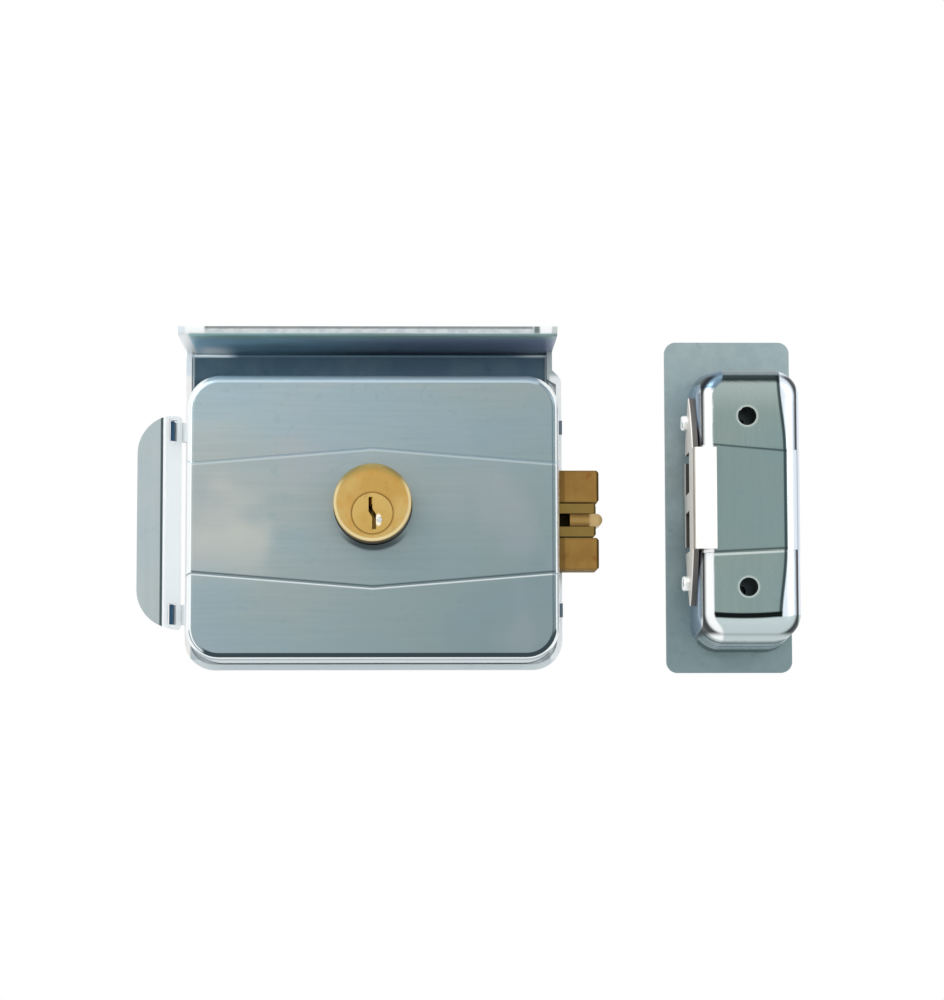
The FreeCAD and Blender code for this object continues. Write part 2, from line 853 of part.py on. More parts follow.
def bolt_block(low_z):
    """Brass bolt block with eased edges and two blind rivet holes at the back."""
    block = box(bolt_rear_x, bolt_tip_x, bolt_front_y, bolt_back_y, low_z, low_z + block_height)
    tip = edges_where(block, lambda p: abs(p.x - bolt_tip_x) < 0.01)
    block = block.makeChamfer(bolt_edge, tip)
    z = math.copysign(rivet_z, low_z)
    floor_y = bolt_back_y - rivet_depth
    holes = [rod_y_axis(floor_y, bolt_back_y + 1, x, z, rivet_r + fit_gap) for x in rivet_xs]
    return block.cut(holes)


def bolt_block_upper():
    return bolt_block(bolt_height / 2 - block_height)


def bolt_block_lower():
    return bolt_block(-bolt_height / 2)


def bolt_tail():
    """Steel tail plate: guide slots, a notched rack edge, the crank lug and the spring lug."""
    half = tail_half_height
    outline = frame_corners(tail_end_x, tail_front_x, -half, half, tail_corner_r)
    plate = prism(outline, in_xz, bolt_back_y, tail_back_y)
    rack = box(tail_end_x + rack_start, tail_end_x + rack_length, bolt_back_y - rack_height, tail_back_y,
               rack_top_z - rack_sheet, rack_top_z)
    notch = box(rack_notch_x, rack_notch_x + rack_notch_length, bolt_back_y - rack_height - 1,
                bolt_back_y - rack_notch_floor, rack_top_z - rack_sheet - 1, rack_top_z + 1)
    crank_lug = box(crank_lug_x, crank_lug_x + crank_lug_width, bolt_back_y - crank_lug_height,
                    bolt_back_y + 1, crank_lug_low_z, crank_lug_high_z)
    lug_front = bolt_back_y - spring_lug_reach
    spring_lug = prism([(lug_front, spring_lug_low_z, spring_lug_corner_r),
                        (bolt_back_y + 1, spring_lug_low_z, 0),
                        (bolt_back_y + 1, spring_lug_high_z, 0),
                        (lug_front, spring_lug_high_z, spring_lug_corner_r)],
                       in_yz, spring_lug_x - spring_lug_half, spring_lug_x + spring_lug_half)
    tail = fuse_all([plate, rack.cut(notch), crank_lug, spring_lug])
    g = running_gap
    cuts = [rod_x(spring_lug_x - spring_lug_half - 1, spring_lug_x + spring_lug_half + 1, rod_y,
                  rod_height_z, rod_r + g)]
    slot_end = tail_slot_half + bolt_travel
    cuts.append(box(tail_end_x - 1, slot_end, bolt_back_y - 1, tail_back_y + 1, -tail_slot_half,
                    tail_slot_half))
    for z in guide_zs:
        slot = frame_corners(guide_x - guide_r - g, guide_x + bolt_travel + guide_r + g, z - guide_r - g,
                             z + guide_r + g, guide_r + g - 0.01)
        cuts.append(prism(slot, in_xz, bolt_back_y - 1, tail_back_y + 1))
    for x in rivet_xs:
        cuts += [rod_y_axis(bolt_back_y - 1, tail_back_y + 1, x, z, rivet_r + fit_gap) for z in rivet_zs]
    return tail.cut(cuts)


def bolt_rivets():
    """Four rivets from the back of the tail plate into the brass blocks."""
    rivets = []
    for x in rivet_xs:
        for z in rivet_zs:
            head_end = tail_back_y + rivet_head_height
            head = rod_y_axis(tail_back_y, head_end, x, z, rivet_head_r)
            edge = edges_where(head, lambda p: abs(p.y - head_end) < 0.01)
            head = head.makeFillet(rivet_head_height * 0.6, edge)
            rivets.append(fuse_all([head, rod_y_axis(bolt_back_y - rivet_depth, tail_back_y, x, z, rivet_r)]))
    return Part.makeCompound(rivets)


def guide_posts():
    """Two shouldered studs on the back plate that guide the tail plate by its slots."""
    posts = []
    for z in guide_zs:
        neck_front = bolt_back_y - running_gap
        neck = rod_y_axis(neck_front, -plate_sheet, guide_x, z, guide_r)
        seat = rod_y_axis(tail_back_y + running_gap, -plate_sheet, guide_x, z, guide_head_r)
        head = rod_y_axis(neck_front - guide_head_height, neck_front, guide_x, z, guide_head_r)
        posts.append(fuse_all([neck, seat, head]))
    return Part.makeCompound(posts)


# The trigger.

def trigger_block():
    """Brass centre block with the pocket for the nose and a slot for the tail bar."""
    block = box(bolt_rear_x, trigger_tip_x, bolt_front_y, bolt_back_y - running_gap, -trigger_half,
                trigger_half)
    tip = edges_where(block, lambda p: abs(p.x - trigger_tip_x) < 0.01)
    block = block.makeChamfer(bolt_edge, tip)
    half = nose_height / 2 + nose_gap
    pocket = box(nose_pocket_x, trigger_tip_x + 1, bolt_front_y - 1, nose_floor_y, -half, half)
    g = fit_gap
    tail_slot = box(bolt_rear_x - 1, bolt_rear_x + trigger_tail_inset + g, trigger_tail_front_y - g,
                    trigger_tail_back_y + g, -trigger_tail_half - g, trigger_tail_half + g)
    cuts = [pocket, tail_slot]
    for x, y in trigger_pin_points():
        cuts.append(rod_z(-trigger_half - 1, trigger_half + 1, x, y, pin_r + fit_gap))
    return block.cut(cuts)


def trigger_pin_points():
    return [(nose_tip_x - nose_length + nose_pin_from_end, bolt_front_y + nose_pin_depth),
            (bolt_rear_x + trigger_tail_inset / 2, trigger_y)]


def trigger_nose():
    """Round-ended brass nose that stands proud of the centre block."""
    half = nose_height / 2
    corners = [(nose_tip_x - nose_length, -half, 0), (nose_tip_x, -half, half - 0.01),
               (nose_tip_x, half, half - 0.01), (nose_tip_x - nose_length, half, 0)]
    nose = prism(corners, in_xz, bolt_front_y + nose_front_gap, nose_floor_y - fit_gap)
    x, y = trigger_pin_points()[0]
    return nose.cut(rod_z(-half - 1, half + 1, x, y, pin_r + fit_gap))


def trigger_tail():
    """Steel bar from the centre block back to the trigger spring, with a foot and a spigot."""
    half = trigger_tail_half
    bar = box(trigger_tail_x, bolt_rear_x + trigger_tail_inset, trigger_tail_front_y, trigger_tail_back_y,
              -half, half)
    foot = prism(frame_corners(trigger_foot_front_y, trigger_foot_back_y, trigger_foot_low_z,
                               trigger_foot_high_z, trigger_foot_corner_r), in_yz, trigger_tail_x,
                 trigger_tail_x + trigger_foot_sheet)
    spigot = rod_x(trigger_tail_x - spigot_length, trigger_tail_x + 1, trigger_spring_y, trigger_spring_z,
                   spigot_r)
    tail = fuse_all([bar, foot, spigot])
    x, y = trigger_pin_points()[1]
    return tail.cut(rod_z(-half - 1, half + 1, x, y, pin_r + fit_gap))


def trigger_pins():
    """Cross pins that hold the nose and the tail bar in the centre block."""
    pins = [rod_z(-trigger_half, trigger_half, x, y, pin_r) for x, y in trigger_pin_points()]
    return Part.makeCompound(pins)


# Springs and what they bear on.

def spring_bracket():
    """Angle on the back plate that both slide springs push against."""
    x1 = bracket_x + bracket_sheet / 2
    front = -plate_sheet - bracket_height
    path = [(x1, front, 0), (x1, -plate_sheet, bracket_bend_r), (x1 - bracket_foot, -plate_sheet, 0)]
    section = sheet_corners(path, -bracket_sheet)
    bracket = prism(section, in_xy, bracket_low_z, bracket_high_z)
    hole = rod_x(x1 - bracket_sheet - 1, x1 + 1, rod_y, rod_height_z, rod_r + fit_gap)
    return bracket.cut(hole)


def spring_guide_rod():
    """Rod through the bolt spring, headed behind the bracket."""
    back = bracket_x - bracket_sheet / 2
    head = rod_x(back - rod_head_height, back, rod_y, rod_height_z, rod_r + rod_head_wider)
    return fuse_all([head, rod_x(back - 1, rod_end_x, rod_y, rod_height_z, rod_r)])


def bolt_spring():
    return helical_spring(bracket_x + bracket_sheet / 2, spring_lug_x - spring_lug_half, rod_y, rod_height_z,
                          rod_r + spring_room, spring_wire_r, slide_spring_turns)


def trigger_spring():
    return helical_spring(bracket_x + bracket_sheet / 2, trigger_tail_x, trigger_spring_y, trigger_spring_z,
                          spigot_r + spring_room, spring_wire_r, slide_spring_turns)


# The electromagnet.

def coil_yoke():
    """U-shaped steel yoke around the coil, standing on the back plate."""
    x0 = coil_x - yoke_sheet
    x1 = coil_x + coil_length + yoke_sheet
    front = coil_y - coil_r - yoke_front_room
    path = [(x0, front, 0), (x0, -plate_sheet, yoke_bend_r), (x1, -plate_sheet, yoke_bend_r), (x1, front, 0)]
    section = sheet_corners(path, yoke_sheet)
    yoke = prism(section, in_xy, coil_z - yoke_width / 2, coil_z + yoke_width / 2)
    hole = rod_x(x1 - yoke_sheet - 1, x1 + 1, coil_y, coil_z, armature_r + armature_gap)
    return yoke.cut(hole)


def coil_bobbin():
    """Moulded bobbin: a tube with a flange at each end."""
    x0, x1 = coil_x, coil_x + coil_length
    tube_r = armature_r + armature_gap + armature_tube_wall
    tube = rod_x(x0, x1, coil_y, coil_z, tube_r)
    flanges = [rod_x(x0, x0 + coil_flange, coil_y, coil_z, coil_r),
               rod_x(x1 - coil_flange, x1, coil_y, coil_z, coil_r)]
    bobbin = fuse_all([tube] + flanges)
    return bobbin.cut(rod_x(x0 + coil_flange, x1 + 1, coil_y, coil_z, armature_r + armature_gap))


def coil_winding():
    """Copper winding on the bobbin, taken as one solid sleeve."""
    x0 = coil_x + coil_flange + fit_gap
    x1 = coil_x + coil_length - coil_flange - fit_gap
    sleeve = rod_x(x0, x1, coil_y, coil_z, winding_r)
    return sleeve.cut(rod_x(x0 - 1, x1 + 1, coil_y, coil_z, winding_core_r))


def armature():
    """Steel plunger with a rod and a fork that pushes the pawl."""
    end = coil_x + coil_length + yoke_sheet
    plunger_end = end + armature_proud
    plunger = rod_x(end - armature_plunge, plunger_end, coil_y, coil_z, armature_r)
    tip = fork_half + fork_wall
    rod = rod_x(plunger_end - 0.5, pawl_pivot_x - fork_half, coil_y, coil_z, armature_rod_r)
    low_y = pawl_back_y - pawl_sheet - fork_room
    high_y = pawl_back_y + fork_room
    fork = box(pawl_pivot_x - tip, pawl_pivot_x + tip, low_y - fork_bridge, high_y + fork_bridge,
               coil_z - fork_height / 2, coil_z + fork_height / 2)
    gap = box(pawl_pivot_x - fork_half, pawl_pivot_x + fork_half, low_y, high_y, coil_z - fork_height,
              coil_z + fork_height)
    return fuse_all([plunger, rod, fork.cut(gap)]).cut(gap)


def armature_spring():
    start = coil_x + coil_length + yoke_sheet + armature_proud
    end = pawl_pivot_x - fork_half - fork_wall
    turns = round((end - start) / armature_spring_pitch)
    return helical_spring(start, end, coil_y, coil_z, armature_spring_r, armature_wire_r, turns)


def pawl():
    """Two-armed pawl plate: round upper tip in the fork, nose over the bolt's rack."""
    front, back = pawl_back_y - pawl_sheet, pawl_back_y
    hub = rod_y_axis(front, back, pawl_pivot_x, pawl_pivot_z, pawl_hub_r)
    tip = rod_y_axis(front, back, pawl_pivot_x, pawl_pivot_z + pawl_arm, pawl_tip_r)
    neck = prism([(pawl_pivot_x - pawl_neck, pawl_pivot_z, 0), (pawl_pivot_x + pawl_neck, pawl_pivot_z, 0),
                  (pawl_pivot_x + pawl_neck / 2, pawl_pivot_z + pawl_arm, 0),
                  (pawl_pivot_x - pawl_neck / 2, pawl_pivot_z + pawl_arm, 0)], in_xz, front, back)
    nose_x = pawl_pivot_x + pawl_nose_x
    nose_z = rack_top_z + running_gap
    nose = prism([(pawl_pivot_x - pawl_root_left, pawl_pivot_z, 0),
                  (nose_x - pawl_nose_half, nose_z, pawl_nose_corner_r),
                  (nose_x + pawl_nose_half, nose_z, pawl_nose_corner_r),
                  (pawl_pivot_x + pawl_root_right, pawl_pivot_z, 0)], in_xz, front, back)
    lever = fuse_all([hub, tip, neck, nose])
    return lever.cut(rod_y_axis(front - 1, back + 1, pawl_pivot_x, pawl_pivot_z, pawl_pin_r + fit_gap))


def pawl_pin():
    """Pivot pin of the pawl, between the back plate and the bridge plate, with a shoulder."""
    pin = rod_y_axis(bridge_back_y, -plate_sheet, pawl_pivot_x, pawl_pivot_z, pawl_pin_r)
    shoulder = rod_y_axis(pawl_back_y + running_gap, -plate_sheet, pawl_pivot_x, pawl_pivot_z,
                          pawl_pin_r + pawl_shoulder)
    return fuse_all([pin, shoulder])


def terminal_points():
    middle = terminal_x + terminal_length / 2
    return [(middle + side * terminal_pitch / 2, terminal_z + terminal_row_z) for side in (-1, 1)]


def terminal_block():
    """Moulded block with two screw terminals."""
    front = -plate_sheet - terminal_depth
    block = prism(frame_corners(terminal_x, terminal_x + terminal_length, terminal_z,
                                terminal_z + terminal_height, terminal_corner_r), in_xz, front, -plate_sheet)
    cuts = []
    for x, z in terminal_points():
        cuts.append(rod_y_axis(front - 1, front + terminal_well_depth, x, z, terminal_screw_r + running_gap))
        cuts.append(box(x - terminal_wire_hole / 2, x + terminal_wire_hole / 2, front + terminal_wire_hole,
                        front + 2 * terminal_wire_hole, terminal_z - 1, z))
    return block.cut(cuts)


def terminal_screws():
    front = -plate_sheet - terminal_depth
    screws = [pan_head_screw_y(x, z, front + terminal_screw_sunk, 1, terminal_shank_r, terminal_screw_r,
                               terminal_shank_length) for x, z in terminal_points()]
    return Part.makeCompound(screws)


# The keeper.

def keeper_hole_zs():
    middle = keeper_z - keeper_hole_drop
    return (middle - keeper_hole_spacing / 2, middle + keeper_hole_spacing / 2)


def keeper_base():
    """Flat steel base plate with two screw holes."""
    half = keeper_base_height / 2
    plate = prism(frame_corners(keeper_base_left_x, keeper_base_left_x + keeper_base_width, keeper_z - half,
                                keeper_z + half, keeper_base_corner_r), in_xz, -plate_sheet, 0)
    holes = []
    for side in (-1, 1):
        z = keeper_z - keeper_hole_drop + side * keeper_fixing_spacing / 2
        holes.append(rod_y_axis(-plate_sheet - 1, 1, keeper_hole_x, z, keeper_fixing_r))
    return plate.cut(holes)


def keeper_pillars():
    """Two threaded pillars on the base plate that the cover's screws run into."""
    front = -plate_sheet - pillar_length
    pillars = []
    for z in keeper_hole_zs():
        pillar = rod_y_axis(front, -plate_sheet, keeper_hole_x, z, pillar_r)
        thread = rod_y_axis(front - 1, front + pillar_thread_depth, keeper_hole_x, z, pillar_thread_r)
        pillars.append(pillar.cut(thread))
    return Part.makeCompound(pillars)


def keeper_form(inset, front_y):
    """Drafted box form of the keeper cover, drawn in from the outside by the inset."""
    half = keeper_height / 2 - inset
    left, right = keeper_left_x + inset, keeper_right_x - inset
    low, high = keeper_z - keeper_cover_drop - half, keeper_z - keeper_cover_drop + half
    rear = frame_corners(left, right - keeper_draft, low - keeper_flare, high + keeper_flare,
                         keeper_corner_r - inset)
    front = frame_corners(left, right, low, high, keeper_corner_r - inset)
    form = loft(rear, front, in_xz, -plate_sheet, front_y)
    edges = edges_where(form, lambda p: abs(p.y - front_y) < 0.01)
    return form.makeFillet(keeper_edge_r - inset, edges)


def keeper_cover():
    """Pressed keeper cover with a raised band, two screw holes and the mouth for the bolt."""
    s = keeper_sheet
    shapes = []
    for inset in (0, s):
        field = keeper_form(inset, -keeper_depth + inset)
        full = keeper_form(inset, keeper_front_y + inset)
        low_l = keeper_z - keeper_band_half_left
        low_r = keeper_z - keeper_band_half_right - keeper_band_low_extra
        top_l, top_r = keeper_z + keeper_band_half_left, keeper_z + keeper_band_half_right
        left, right = keeper_left_x - keeper_band_overrun, keeper_right_x + keeper_band_overrun
        band = prism([(left, low_l, 0), (right, low_r, 0), (right, top_r, 0), (left, top_l, 0)], in_xz,
                     keeper_front_y - 1, -keeper_depth + keeper_edge_r)
        shapes.append(fuse_all([field, full.common(band)]))
    cover = shapes[0].cut(shapes[1])
    half = mouth_height / 2
    mouth = box(keeper_left_x - 1, keeper_left_x + insert_lip_width - insert_sheet - mouth_gap,
                keeper_front_y - 1, mouth_back_y, keeper_z - half, keeper_z + half)
    cuts = [mouth]
    cuts += [rod_y_axis(keeper_front_y - 1, -keeper_depth + 6, keeper_hole_x, z, keeper_hole_r)
             for z in keeper_hole_zs()]
    for side in (-1, 1):
        cuts.append(rod_x(keeper_left_x - 1, keeper_left_x + s + 1, insert_screw_y,
                          keeper_z + side * insert_screw_z, insert_screw_r + fit_gap))
    return cover.cut(cuts)


def keeper_insert():
    """Strike plate with pointed ends and two windows, folded over the front of the keeper."""
    front = keeper_front_y - insert_sheet
    half = insert_half
    # The side plate is the overlap of two wide arcs, which gives it pointed ends.
    middle_y = (insert_back_y + front) / 2
    depth_half = (insert_back_y - front) / 2
    r = (half * half + depth_half * depth_half) / (2 * depth_half)
    lens = []
    for side in (-1, 1):
        centre = middle_y + side * (r - depth_half)
        lens.append(rod_x(insert_left_x, keeper_left_x, centre, keeper_z, r))
    side_plate = lens[0].common(lens[1])
    mouth = mouth_height / 2
    lip = box(insert_left_x, insert_left_x + insert_lip_width, front, keeper_front_y, keeper_z - mouth,
              keeper_z + mouth)
    wall = box(insert_left_x, keeper_left_x, front, middle_y, keeper_z - mouth, keeper_z + mouth)
    insert = fuse_all([side_plate, lip, wall])
    fold = edges_where(insert, lambda p: abs(p.x - insert_left_x) < 0.01 and abs(p.y - front) < 0.01)
    insert = insert.makeFillet(insert_sheet, fold)
    cuts = []
    window_front = bolt_front_y - (window_depth - bolt_depth) / 2
    for side in (-1, 1):
        low, high = sorted((side * window_bar / 2, side * (window_bar / 2 + window_height)))
        cuts.append(box(insert_left_x - 1, keeper_left_x + 1, window_front, window_front + window_depth,
                        keeper_z + low, keeper_z + high))
        cuts.append(rod_x(insert_left_x - 1, keeper_left_x + 1, insert_screw_y,
                          keeper_z + side * insert_screw_z, insert_screw_r + fit_gap))
    return insert.cut(cuts)


def insert_screws():
    """Two domed screws that clamp the insert to the side of the keeper cover."""
    screws = []
    for side in (-1, 1):
        z = keeper_z + side * insert_screw_z
        top = insert_left_x - insert_screw_head
        head = rod_x(top, insert_left_x, insert_screw_y, z, insert_screw_head_r)
        edge = edges_where(head, lambda p: abs(p.x - top) < 0.01)
        head = head.makeFillet(insert_screw_head / 2, edge)
        shank_end = keeper_left_x + keeper_sheet + insert_screw_reach
        shank = rod_x(insert_left_x - 0.5, shank_end, insert_screw_y, z, insert_screw_r)
        screws.append(fuse_all([head, shank]))
    return Part.makeCompound(screws)


nodes = [
    base_plate, case_cover, side_bracket, left_side_plate, bolt_side_plate,
    cylinder_body, cylinder_plug, anti_drill_pin, key_pins, driver_pins, cylinder_screws,
    plug_cam, cam_screw, bridge_plate, bridge_posts, bridge_screws,
    bolt_block_upper, bolt_block_lower, bolt_tail, bolt_rivets, guide_posts,
    trigger_block, trigger_nose, trigger_tail, trigger_pins,
    spring_bracket, spring_guide_rod, bolt_spring, trigger_spring,
    coil_yoke, coil_bobbin, coil_winding, armature, armature_spring, pawl, pawl_pin,
    terminal_block, terminal_screws,
    keeper_base, keeper_pillars, keeper_cover, keeper_insert, insert_screws,
]

os.makedirs("parts", exist_ok=True)
for node in nodes:
    shape = node()
    print(node.__name__, len(shape.Solids), shape.isValid(), round(shape.Volume, 1))
    shape.exportStep(os.path.join("parts", node.__name__ + ".step"))
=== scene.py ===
import math

import bpy
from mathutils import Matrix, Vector


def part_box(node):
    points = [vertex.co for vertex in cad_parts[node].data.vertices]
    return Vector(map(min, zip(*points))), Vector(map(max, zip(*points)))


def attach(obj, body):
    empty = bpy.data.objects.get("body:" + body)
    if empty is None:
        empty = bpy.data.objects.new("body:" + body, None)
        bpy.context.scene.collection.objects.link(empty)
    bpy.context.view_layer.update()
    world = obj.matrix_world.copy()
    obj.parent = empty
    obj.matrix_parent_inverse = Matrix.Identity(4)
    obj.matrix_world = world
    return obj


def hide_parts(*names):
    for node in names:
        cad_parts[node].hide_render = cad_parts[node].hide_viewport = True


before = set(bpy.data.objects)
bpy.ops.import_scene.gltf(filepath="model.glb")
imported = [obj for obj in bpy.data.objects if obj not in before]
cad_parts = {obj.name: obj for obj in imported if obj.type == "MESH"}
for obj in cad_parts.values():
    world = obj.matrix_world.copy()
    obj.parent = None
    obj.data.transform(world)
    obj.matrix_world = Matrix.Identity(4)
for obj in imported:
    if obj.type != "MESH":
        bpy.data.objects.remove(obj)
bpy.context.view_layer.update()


# Back plate. Two millimetre steel, pressed with a rim all round and folded forward at the top into a rain
# canopy, then zinc plated. Four screws behind the cover hold it to the gate.

class Value:
    """What one socket gives, a number, a colour or a vector, with + - * written between them."""

    def __init__(self, finish, socket):
        self.finish = finish
        self.socket = socket

    def maths(self, operation, first, second):
        return self.finish.node("ShaderNodeMath", {"operation": operation}, {0: first, 1: second})

    def __add__(self, other):
        return self.maths("ADD", self, other)

    def __radd__(self, other):
        return self.maths("ADD", other, self)

    def __sub__(self, other):
        return self.maths("SUBTRACT", self, other)

    def __rsub__(self, other):
        return self.maths("SUBTRACT", other, self)

    def __mul__(self, other):
        return self.maths("MULTIPLY", self, other)

    def __rmul__(self, other):
        return self.maths("MULTIPLY", other, self)


class Shading:
    """The nodes of a material or of the world."""

    def __init__(self, owner):
        owner.use_nodes = True
        self.tree = owner.node_tree

    def node(self, kind, settings=None, sockets=None, output=0):
        """Adds any node, sets and links it, and gives one of its outputs."""
        made = self.tree.nodes.new(kind)
        for setting, value in (settings or {}).items():
            setattr(made, setting, value)
        for name, value in (sockets or {}).items():
            self.feed(made.inputs[name], value)
        return Value(self, made.outputs[output])

    def feed(self, socket, value):
        if isinstance(value, Value):
            self.tree.links.new(value.socket, socket)
        else:
            socket.default_value = value


class Finish(Shading):
    """A surface finish: one material, whose colour is kept in tint until surface() uses it."""

    def __init__(self, name):
        self.material = bpy.data.materials.new(name)
        super().__init__(self.material)
        self.shader = self.tree.nodes["Principled BSDF"]
        self.place = self.node("ShaderNodeTexCoord", output="Object")

    def surface(self, **looks):
        for name, value in looks.items():
            self.feed(self.shader.inputs[name.replace("_", " ")], value)

    def spread(self, x, y, z, shift=0.0):
        """Object coordinates stretched to x, y and z features a metre."""
        return self.node("ShaderNodeVectorMath", {"operation": "MULTIPLY_ADD"},
                         {0: self.place, 1: (x, y, z), 2: (shift, shift, shift)})

    def noise(self, coordinates, detail=3.0, roughness=0.55):
        return self.node("ShaderNodeTexNoise", {},
                         {"Vector": coordinates, "Scale": 1.0, "Detail": detail, "Roughness": roughness})

    def rise(self, value, low, high):
        """0 below low, 1 above high and a smooth step between them."""
        return self.node("ShaderNodeMapRange", {"interpolation_type": "SMOOTHSTEP"},
                         {"Value": value, "From Min": low, "From Max": high})

    def mix(self, share, first, second):
        return self.node("ShaderNodeMix", {"data_type": "RGBA"}, {0: share, 6: first, 7: second}, 2)

    def paint(self, share, red, green, blue):
        """Lays a 0-255 screen colour over the tint, fully where share is 1."""
        self.tint = self.mix(share, self.tint, screen_colour(red, green, blue))

    def axis(self, name):
        return self.node("ShaderNodeSeparateXYZ", {}, {0: self.place}, name)

    def facing(self, name):
        """How far the surface faces along X, Y or Z, from -1 to 1."""
        normal = self.node("ShaderNodeNewGeometry", output="Normal")
        return self.node("ShaderNodeSeparateXYZ", {}, {0: normal}, name)

    def between(self, value, low, high, soft):
        """1 from low to high and 0 outside, with soft ends."""
        return self.rise(value, low - soft, low + soft) * (1 - self.rise(value, high - soft, high + soft))

    def from_point(self, x, z, narrow=1.0):
        """Distance from the line through x, z along Y; narrow turns its circles into upright ovals."""
        offset = self.node("ShaderNodeVectorMath", {"operation": "SUBTRACT"}, {0: self.place, 1: (x, 0, z)})
        flat = self.node("ShaderNodeVectorMath", {"operation": "MULTIPLY"}, {0: offset, 1: (narrow, 0, 1)})
        return self.node("ShaderNodeVectorMath", {"operation": "LENGTH"}, {0: flat}, "Value")

    def size_of(self, value):
        """The value without its sign."""
        return self.node("ShaderNodeMath", {"operation": "ABSOLUTE"}, {0: value})

    def relief(self, height, depth, strength=1.0):
        return self.node("ShaderNodeBump", {}, {"Strength": strength, "Distance": depth, "Height": height},
                         "Normal")


def screen_colour(red, green, blue):
    """A colour written in 0-255 screen values, as the linear colour that a shader takes."""
    linear = [((v / 255 + 0.055) / 1.055) ** 2.4 if v > 10 else v / 3294 for v in (red, green, blue)]
    return (*linear, 1.0)


def zinc(name, cool, warm, dull, along=(30.0, 700.0, 700.0), shift=0.0, polish=0.3):
    """Bright zinc plating on pressed sheet: broad tints, drawn streaks, fine spangle and small dull spots."""
    plated = Finish(name)
    clouds = plated.rise(plated.noise(plated.spread(16, 16, 26, shift), 4.0), 0.36, 0.64)
    streaks = plated.noise(plated.spread(*along, shift), 5.0, 0.6)
    spangle = plated.noise(plated.spread(1500, 1500, 1500), 2.0)
    spots = plated.rise(plated.noise(plated.spread(150, 150, 190, shift), 3.0), 0.6, 0.74)
    tint = plated.mix(clouds, cool, warm)
    tint = plated.mix(plated.rise(streaks, 0.25, 0.75) * 0.3, tint, dull)
    plated.tint = plated.mix(spots * 0.35, tint, dull)
    height = streaks * 0.7 + spangle * 0.3
    plated.surface(
        Base_Color=plated.tint,
        Metallic=0.9,
        Roughness=polish + 0.14 * streaks + 0.1 * spots + 0.04 * spangle,
        Normal=plated.relief(height, 0.00003, 0.5),
    )
    return plated


def dress(finish, *names):
    """Gives CAD nodes a finish in the material slots that they already have."""
    for name in names:
        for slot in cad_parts[name].material_slots:
            slot.material = finish.material


plate_zinc = zinc("zinc_back_plate", screen_colour(176, 190, 198), screen_colour(186, 194, 196),
                  screen_colour(142, 158, 166), shift=3.0, polish=0.22)
across, depth, height = (plate_zinc.axis(name) for name in "XYZ")
front_on = plate_zinc.rise(plate_zinc.facing("Y"), -0.4, -0.7)

# Under the canopy the panel is painted dark blue-green as shade and the reflection of the dark ground, with
# soft lighter patches in it and darker still at its top.
soft = 0.0004
panel_left, panel_right = -0.0675, 0.0642
panel_foot, panel_front = 0.045, -0.0075
upper = plate_zinc.rise(height, panel_foot, panel_foot + 0.004) * front_on
upper = upper * plate_zinc.rise(depth, panel_front, panel_front + 0.002)
upper_panel = upper * plate_zinc.between(across, panel_left, panel_right, soft)
plate_zinc.paint(upper_panel * 0.94, 60, 88, 106)
stains_and_shade_patches = plate_zinc.rise(plate_zinc.noise(plate_zinc.spread(75, 20, 60, 1.0), 3.0), 0.4, 0.66)
plate_zinc.paint(upper_panel * stains_and_shade_patches * 0.45, 92, 116, 124)
plate_zinc.paint(upper_panel * plate_zinc.rise(height, 0.0565, 0.053) * 0.5, 36, 56, 70)

# The canopy's underside is painted as the reflection of the dark ground, from blue to violet, greener towards
# the front and darker at the back to the right, with a painted glint and a pale painted highlight at the left
# end. Where it folds out of the plate runs a painted highlight line, dull with pale ends.
under = plate_zinc.rise(plate_zinc.facing("Z"), -0.55, -0.8)
canopy_foot = 0.06
under = under * plate_zinc.rise(height, canopy_foot, canopy_foot + 0.002)
violet = plate_zinc.mix(plate_zinc.rise(across, -0.04, 0.03), screen_colour(148, 196, 222),
                        screen_colour(126, 136, 178))
patches = plate_zinc.rise(plate_zinc.noise(plate_zinc.spread(60, 60, 60, 4.0), 3.0), 0.42, 0.62)
violet = plate_zinc.mix(patches * 0.4, violet, screen_colour(112, 140, 158))
violet = plate_zinc.mix(plate_zinc.rise(depth, -0.036, -0.046) * 0.75, violet, screen_colour(146, 182, 172))
violet = plate_zinc.mix(plate_zinc.rise(depth, -0.014, -0.006) * plate_zinc.rise(across, -0.03, 0.0) * 0.6,
                        violet, screen_colour(60, 70, 98))
plate_zinc.tint = plate_zinc.mix(under * 0.95, plate_zinc.tint, violet)
fold_low, fold_high = 0.0632, 0.0642
fold = plate_zinc.between(height, fold_low, fold_high, soft) * plate_zinc.rise(depth, -0.0062, -0.0048)
plate_zinc.paint(fold * 0.7, 104, 132, 146)
plate_zinc.paint(fold * plate_zinc.rise(across, -0.05, -0.056), 226, 238, 244)
plate_zinc.paint(fold * plate_zinc.rise(across, 0.05, 0.06) * 0.6, 196, 206, 208)
glint_left, glint_right = -0.0645, -0.0545
glint = plate_zinc.between(across, glint_left, glint_right, 10 * soft) * plate_zinc.rise(depth, -0.026, -0.01)
plate_zinc.paint(glint * under, 240, 246, 250)
plate_zinc.paint(under * plate_zinc.rise(across, -0.0655, -0.067), 246, 249, 250)
